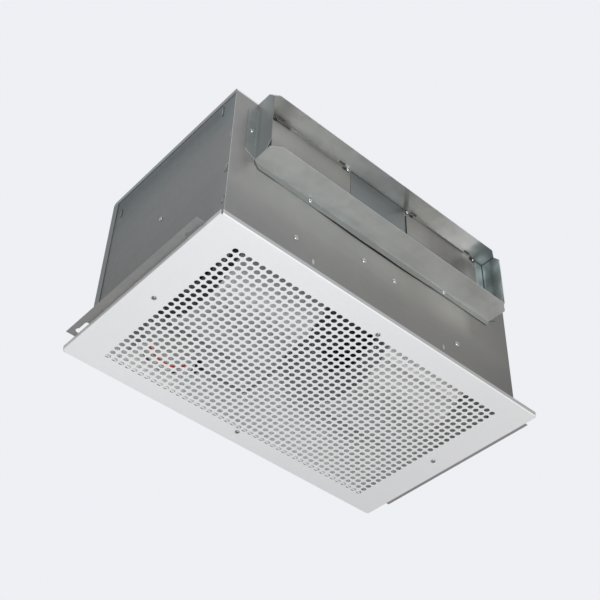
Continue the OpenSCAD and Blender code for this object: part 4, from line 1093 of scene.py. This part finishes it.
def islandBoxes(node):
    # the box of each separate solid in a node, read from its triangles
    work = bmesh.new()
    work.from_mesh(cadNodes[node].data)
    bmesh.ops.remove_doubles(work, verts=work.verts, dist=screwSet["weld"])
    left, boxes = set(work.verts), []
    while left:
        grown, front = set(), [left.pop()]
        while front:
            point = front.pop()
            grown.add(point)
            for edge in point.link_edges:
                other = edge.other_vert(point)
                if other in left:
                    left.discard(other)
                    front.append(other)
        low = Vector([min(point.co[axis] for point in grown) for axis in range(3)])
        high = Vector([max(point.co[axis] for point in grown) for axis in range(3)])
        boxes.append((low, high))
    work.free()
    return sorted(boxes, key=lambda box: tuple(round(value, 4) for value in box[0]))


def screwMesh(radius, height, length):
    # domed head on z = 0 with its shank below, and a cross sunk into the top
    values = screwSet
    work = bmesh.new()
    reach, wide = values["recessReach"] * radius, values["recessWidth"] * radius
    cross = [(reach, -wide), (reach, wide), (wide, wide), (wide, reach), (-wide, reach), (-wide, wide),
             (-reach, wide), (-reach, -wide), (-wide, -wide), (-wide, -reach), (wide, -reach), (wide, -wide)]
    outline = []
    for place, corner in enumerate(cross):
        after = cross[(place + 1) % len(cross)]
        outline += [corner, ((corner[0] + after[0]) / 2, (corner[1] + after[1]) / 2)]
    around = len(outline)  # the head has as many sides as the cross has points
    shank = radius * values["shankShare"]

    def ring(size, level):
        turns = [math.radians(360 / around * (place - 1)) for place in range(around)]
        return [work.verts.new((size * math.cos(turn), size * math.sin(turn), level)) for turn in turns]

    rings = [ring(shank * values["tipShare"], -length), ring(shank, -length + shank * values["tipLength"])]
    rings.append(ring(shank, 0.0))
    rings += [ring(radius * size, height * level) for size, level in values["profile"]]
    rings.append([work.verts.new((x, y, height)) for x, y in outline])
    deep, taper = height * (1 - values["recessDepth"]), values["recessTaper"]
    rings.append([work.verts.new((x * taper, y * taper, deep)) for x, y in outline])
    for lower, upper in zip(rings, rings[1:]):
        for place in range(around):
            after = (place + 1) % around
            work.faces.new((lower[place], lower[after], upper[after], upper[place]))
    work.faces.new(list(reversed(rings[0])))
    work.faces.new(rings[-1])
    mesh = bpy.data.meshes.new("screwShape")
    work.to_mesh(mesh)
    work.free()
    for face in mesh.polygons:
        face.use_smooth = face.area < values["flatArea"]
    return mesh


def repeatTree():
    tree, given, result = newTree("repeatOnPoints", [
        ("Piece", "Object", None), ("Seed", "Int", 1), ("Spin", "Float", 6.2832),
        ("Material", "Material", None)])
    g = given.outputs
    shape = geo(tree, "GeometryNodeObjectInfo", {"transform_space": "ORIGINAL"}, Object=g["Piece"])
    facing = geo(tree, "GeometryNodeInputNamedAttribute", {"data_type": "FLOAT_VECTOR"}, Name="facing")
    turned = geo(tree, "FunctionNodeAlignRotationToVector", {"axis": "Z"}, Vector=facing.outputs["Attribute"])
    spin = geo(tree, "FunctionNodeRandomValue", {"data_type": "FLOAT"}, Seed=g["Seed"], _3=g["Spin"])
    about = geo(tree, "FunctionNodeAxisAngleToRotation", Axis=(0, 0, 1), Angle=spin.outputs[1])
    both = geo(tree, "FunctionNodeRotateRotation", {"rotation_space": "LOCAL"}, Rotation=turned.outputs[0])
    tree.links.new(about.outputs[0], both.inputs[1])
    points = geo(tree, "GeometryNodeMeshToPoints", Mesh=g["Geometry"])
    many = geo(tree, "GeometryNodeInstanceOnPoints", Points=points.outputs[0],
               Instance=shape.outputs["Geometry"], Rotation=both.outputs[0])
    real = geo(tree, "GeometryNodeRealizeInstances", Geometry=many.outputs[0])
    painted = geo(tree, "GeometryNodeSetMaterial", Geometry=real.outputs[0], Material=g["Material"])
    tree.links.new(painted.outputs[0], result.inputs[0])
    return tree


def makeScrews(values):
    tree = repeatTree()
    for place, (node, way, small) in enumerate(screwGroups):
        height = values["smallHeadHeight"] if small else values["headHeight"]
        axis = "xyz".index(way[-1])
        spots, facings, length, radius = [], [], 0, 0
        for low, high in islandBoxes(node):
            sign = -1 if way[0] == "-" or (way == "x" and low[0] < 0) else 1
            facing = Vector((0, 0, 0))
            facing[axis] = sign
            spot = (low + high) / 2
            spot[axis] = (high[axis] if sign > 0 else low[axis]) - sign * height
            spots.append(spot)
            facings.append(facing)
            length = high[axis] - low[axis] - height
            radius = (high[axis - 1] - low[axis - 1]) / 2
        points = bpy.data.meshes.new("screwPoints")
        points.from_pydata(spots, [], [])
        attribute = points.attributes.new("facing", "FLOAT_VECTOR", "POINT")
        for index, facing in enumerate(facings):
            attribute.data[index].vector = facing
        shape = addObject("screwShape", screwMesh(radius, height, length))
        start = addObject("screwStart", points)
        useTree(start, tree, {"Piece": shape, "Seed": values["seed"] + place, "Spin": 2 * math.pi,
                              "Material": finishes[nodeFinish[node]]})
        bpy.context.view_layer.update()
        piece = plainMesh(node + "Heads", start, finishes[nodeFinish[node]])
        bpy.data.objects.remove(shape)
        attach(piece, "housing")
        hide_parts(node)


makeScrews(screwSet)
print("screws ready:", len(screwGroups), "groups")


# folded sheets: each flat solid again, with its sharp edges eased as a press leaves them

easedSet = {
    "edge": 0.32 * mm,
    "segments": 2,
    "sharpAngle": 50,
    "flatAngle": 0.6,  # faces that turn less than this, in degrees, become one
    "flatShare": 0.9998,
    "weld": 0.002 * mm,
}

# the lip under the collar's lower sheet sags and stands off in the middle, as thin sheet does between screws
lipSet = {
    "node": "collar_bottom",
    "edge": 177.2 * mm,
    "bend": 190 * mm,
    "middle": -5 * mm,
    "half": 146 * mm,
    "cuts": 24,
    "sag": 2.6 * mm,
    "bow": 1.6 * mm,
    "ripple": 0.35 * mm,
    "rippleTurns": 9,
    "rippleStart": 1,
    "cutWeld": 0.001 * mm,
}

easedSheets = [
    ("top_panel", "housing"), ("front_panel", "housing"), ("rear_panel", "housing"),
    ("left_panel", "housing"), ("right_panel", "housing"), ("outlet_post", "housing"),
    ("left_bracket", "housing"), ("right_bracket", "housing"), ("collar_top", "housing"),
    ("collar_bottom", "housing"), ("collar_left", "housing"), ("collar_right", "housing"),
    ("left_flap", "left_flap_body"), ("right_flap", "right_flap_body"), ("hinge_clips", "housing"),
]


def sagLip(work, values):
    # extra lines across the lip, then each one moved by its place along it and its depth below the bend
    for place in range(values["cuts"] + 1):
        along = values["middle"] + values["half"] * (2 * place / values["cuts"] - 1)
        everything = list(work.verts) + list(work.edges) + list(work.faces)
        bmesh.ops.bisect_plane(work, geom=everything, dist=values["cutWeld"], plane_co=(along, 0, 0),
                               plane_no=(1, 0, 0))
    for point in work.verts:
        share = (point.co.x - values["middle"]) / values["half"]
        down = (values["bend"] - point.co.z) / (values["bend"] - values["edge"])
        if abs(share) < 1 and down > 0.5:
            swell = (1 - share * share) * down
            turn = values["rippleTurns"] * share + values["rippleStart"]
            point.co.z -= values["sag"] * swell - values["ripple"] * math.sin(turn) * down
            point.co.y -= values["bow"] * swell
    bmesh.ops.triangulate(work, faces=[face for face in work.faces if len(face.verts) > 4])


def easeSheet(node, body, values):
    finish = cadNodes[node].material_slots[0].material
    work = bmesh.new()
    work.from_mesh(cadNodes[node].data)
    bmesh.ops.remove_doubles(work, verts=work.verts, dist=values["weld"])
    bmesh.ops.dissolve_limit(work, angle_limit=math.radians(values["flatAngle"]), verts=work.verts,
                             edges=work.edges)
    if node == lipSet["node"]:
        sagLip(work, lipSet)
    mesh = bpy.data.meshes.new(node + "Eased")
    work.to_mesh(mesh)
    work.free()
    for face in mesh.polygons:
        face.use_smooth = True
    start = addObject(node + "Start", mesh)
    bevel = start.modifiers.new("easedEdge", "BEVEL")
    bevel.width = values["edge"]
    bevel.segments = values["segments"]
    bevel.limit_method = "ANGLE"
    bevel.angle_limit = math.radians(values["sharpAngle"])
    bevel.harden_normals = True
    bpy.context.view_layer.update()
    piece = plainMesh(node + "Sheet", start, finish)
    for face in piece.data.polygons:
        # the sheet's own faces stay flat, so that only the eased edges turn the light
        face.use_smooth = max(abs(value) for value in face.normal) < values["flatShare"]
    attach(piece, body)
    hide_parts(node)


for nodeName, bodyName in easedSheets:
    easeSheet(nodeName, bodyName, easedSet)
print("sheets eased:", len(easedSheets))
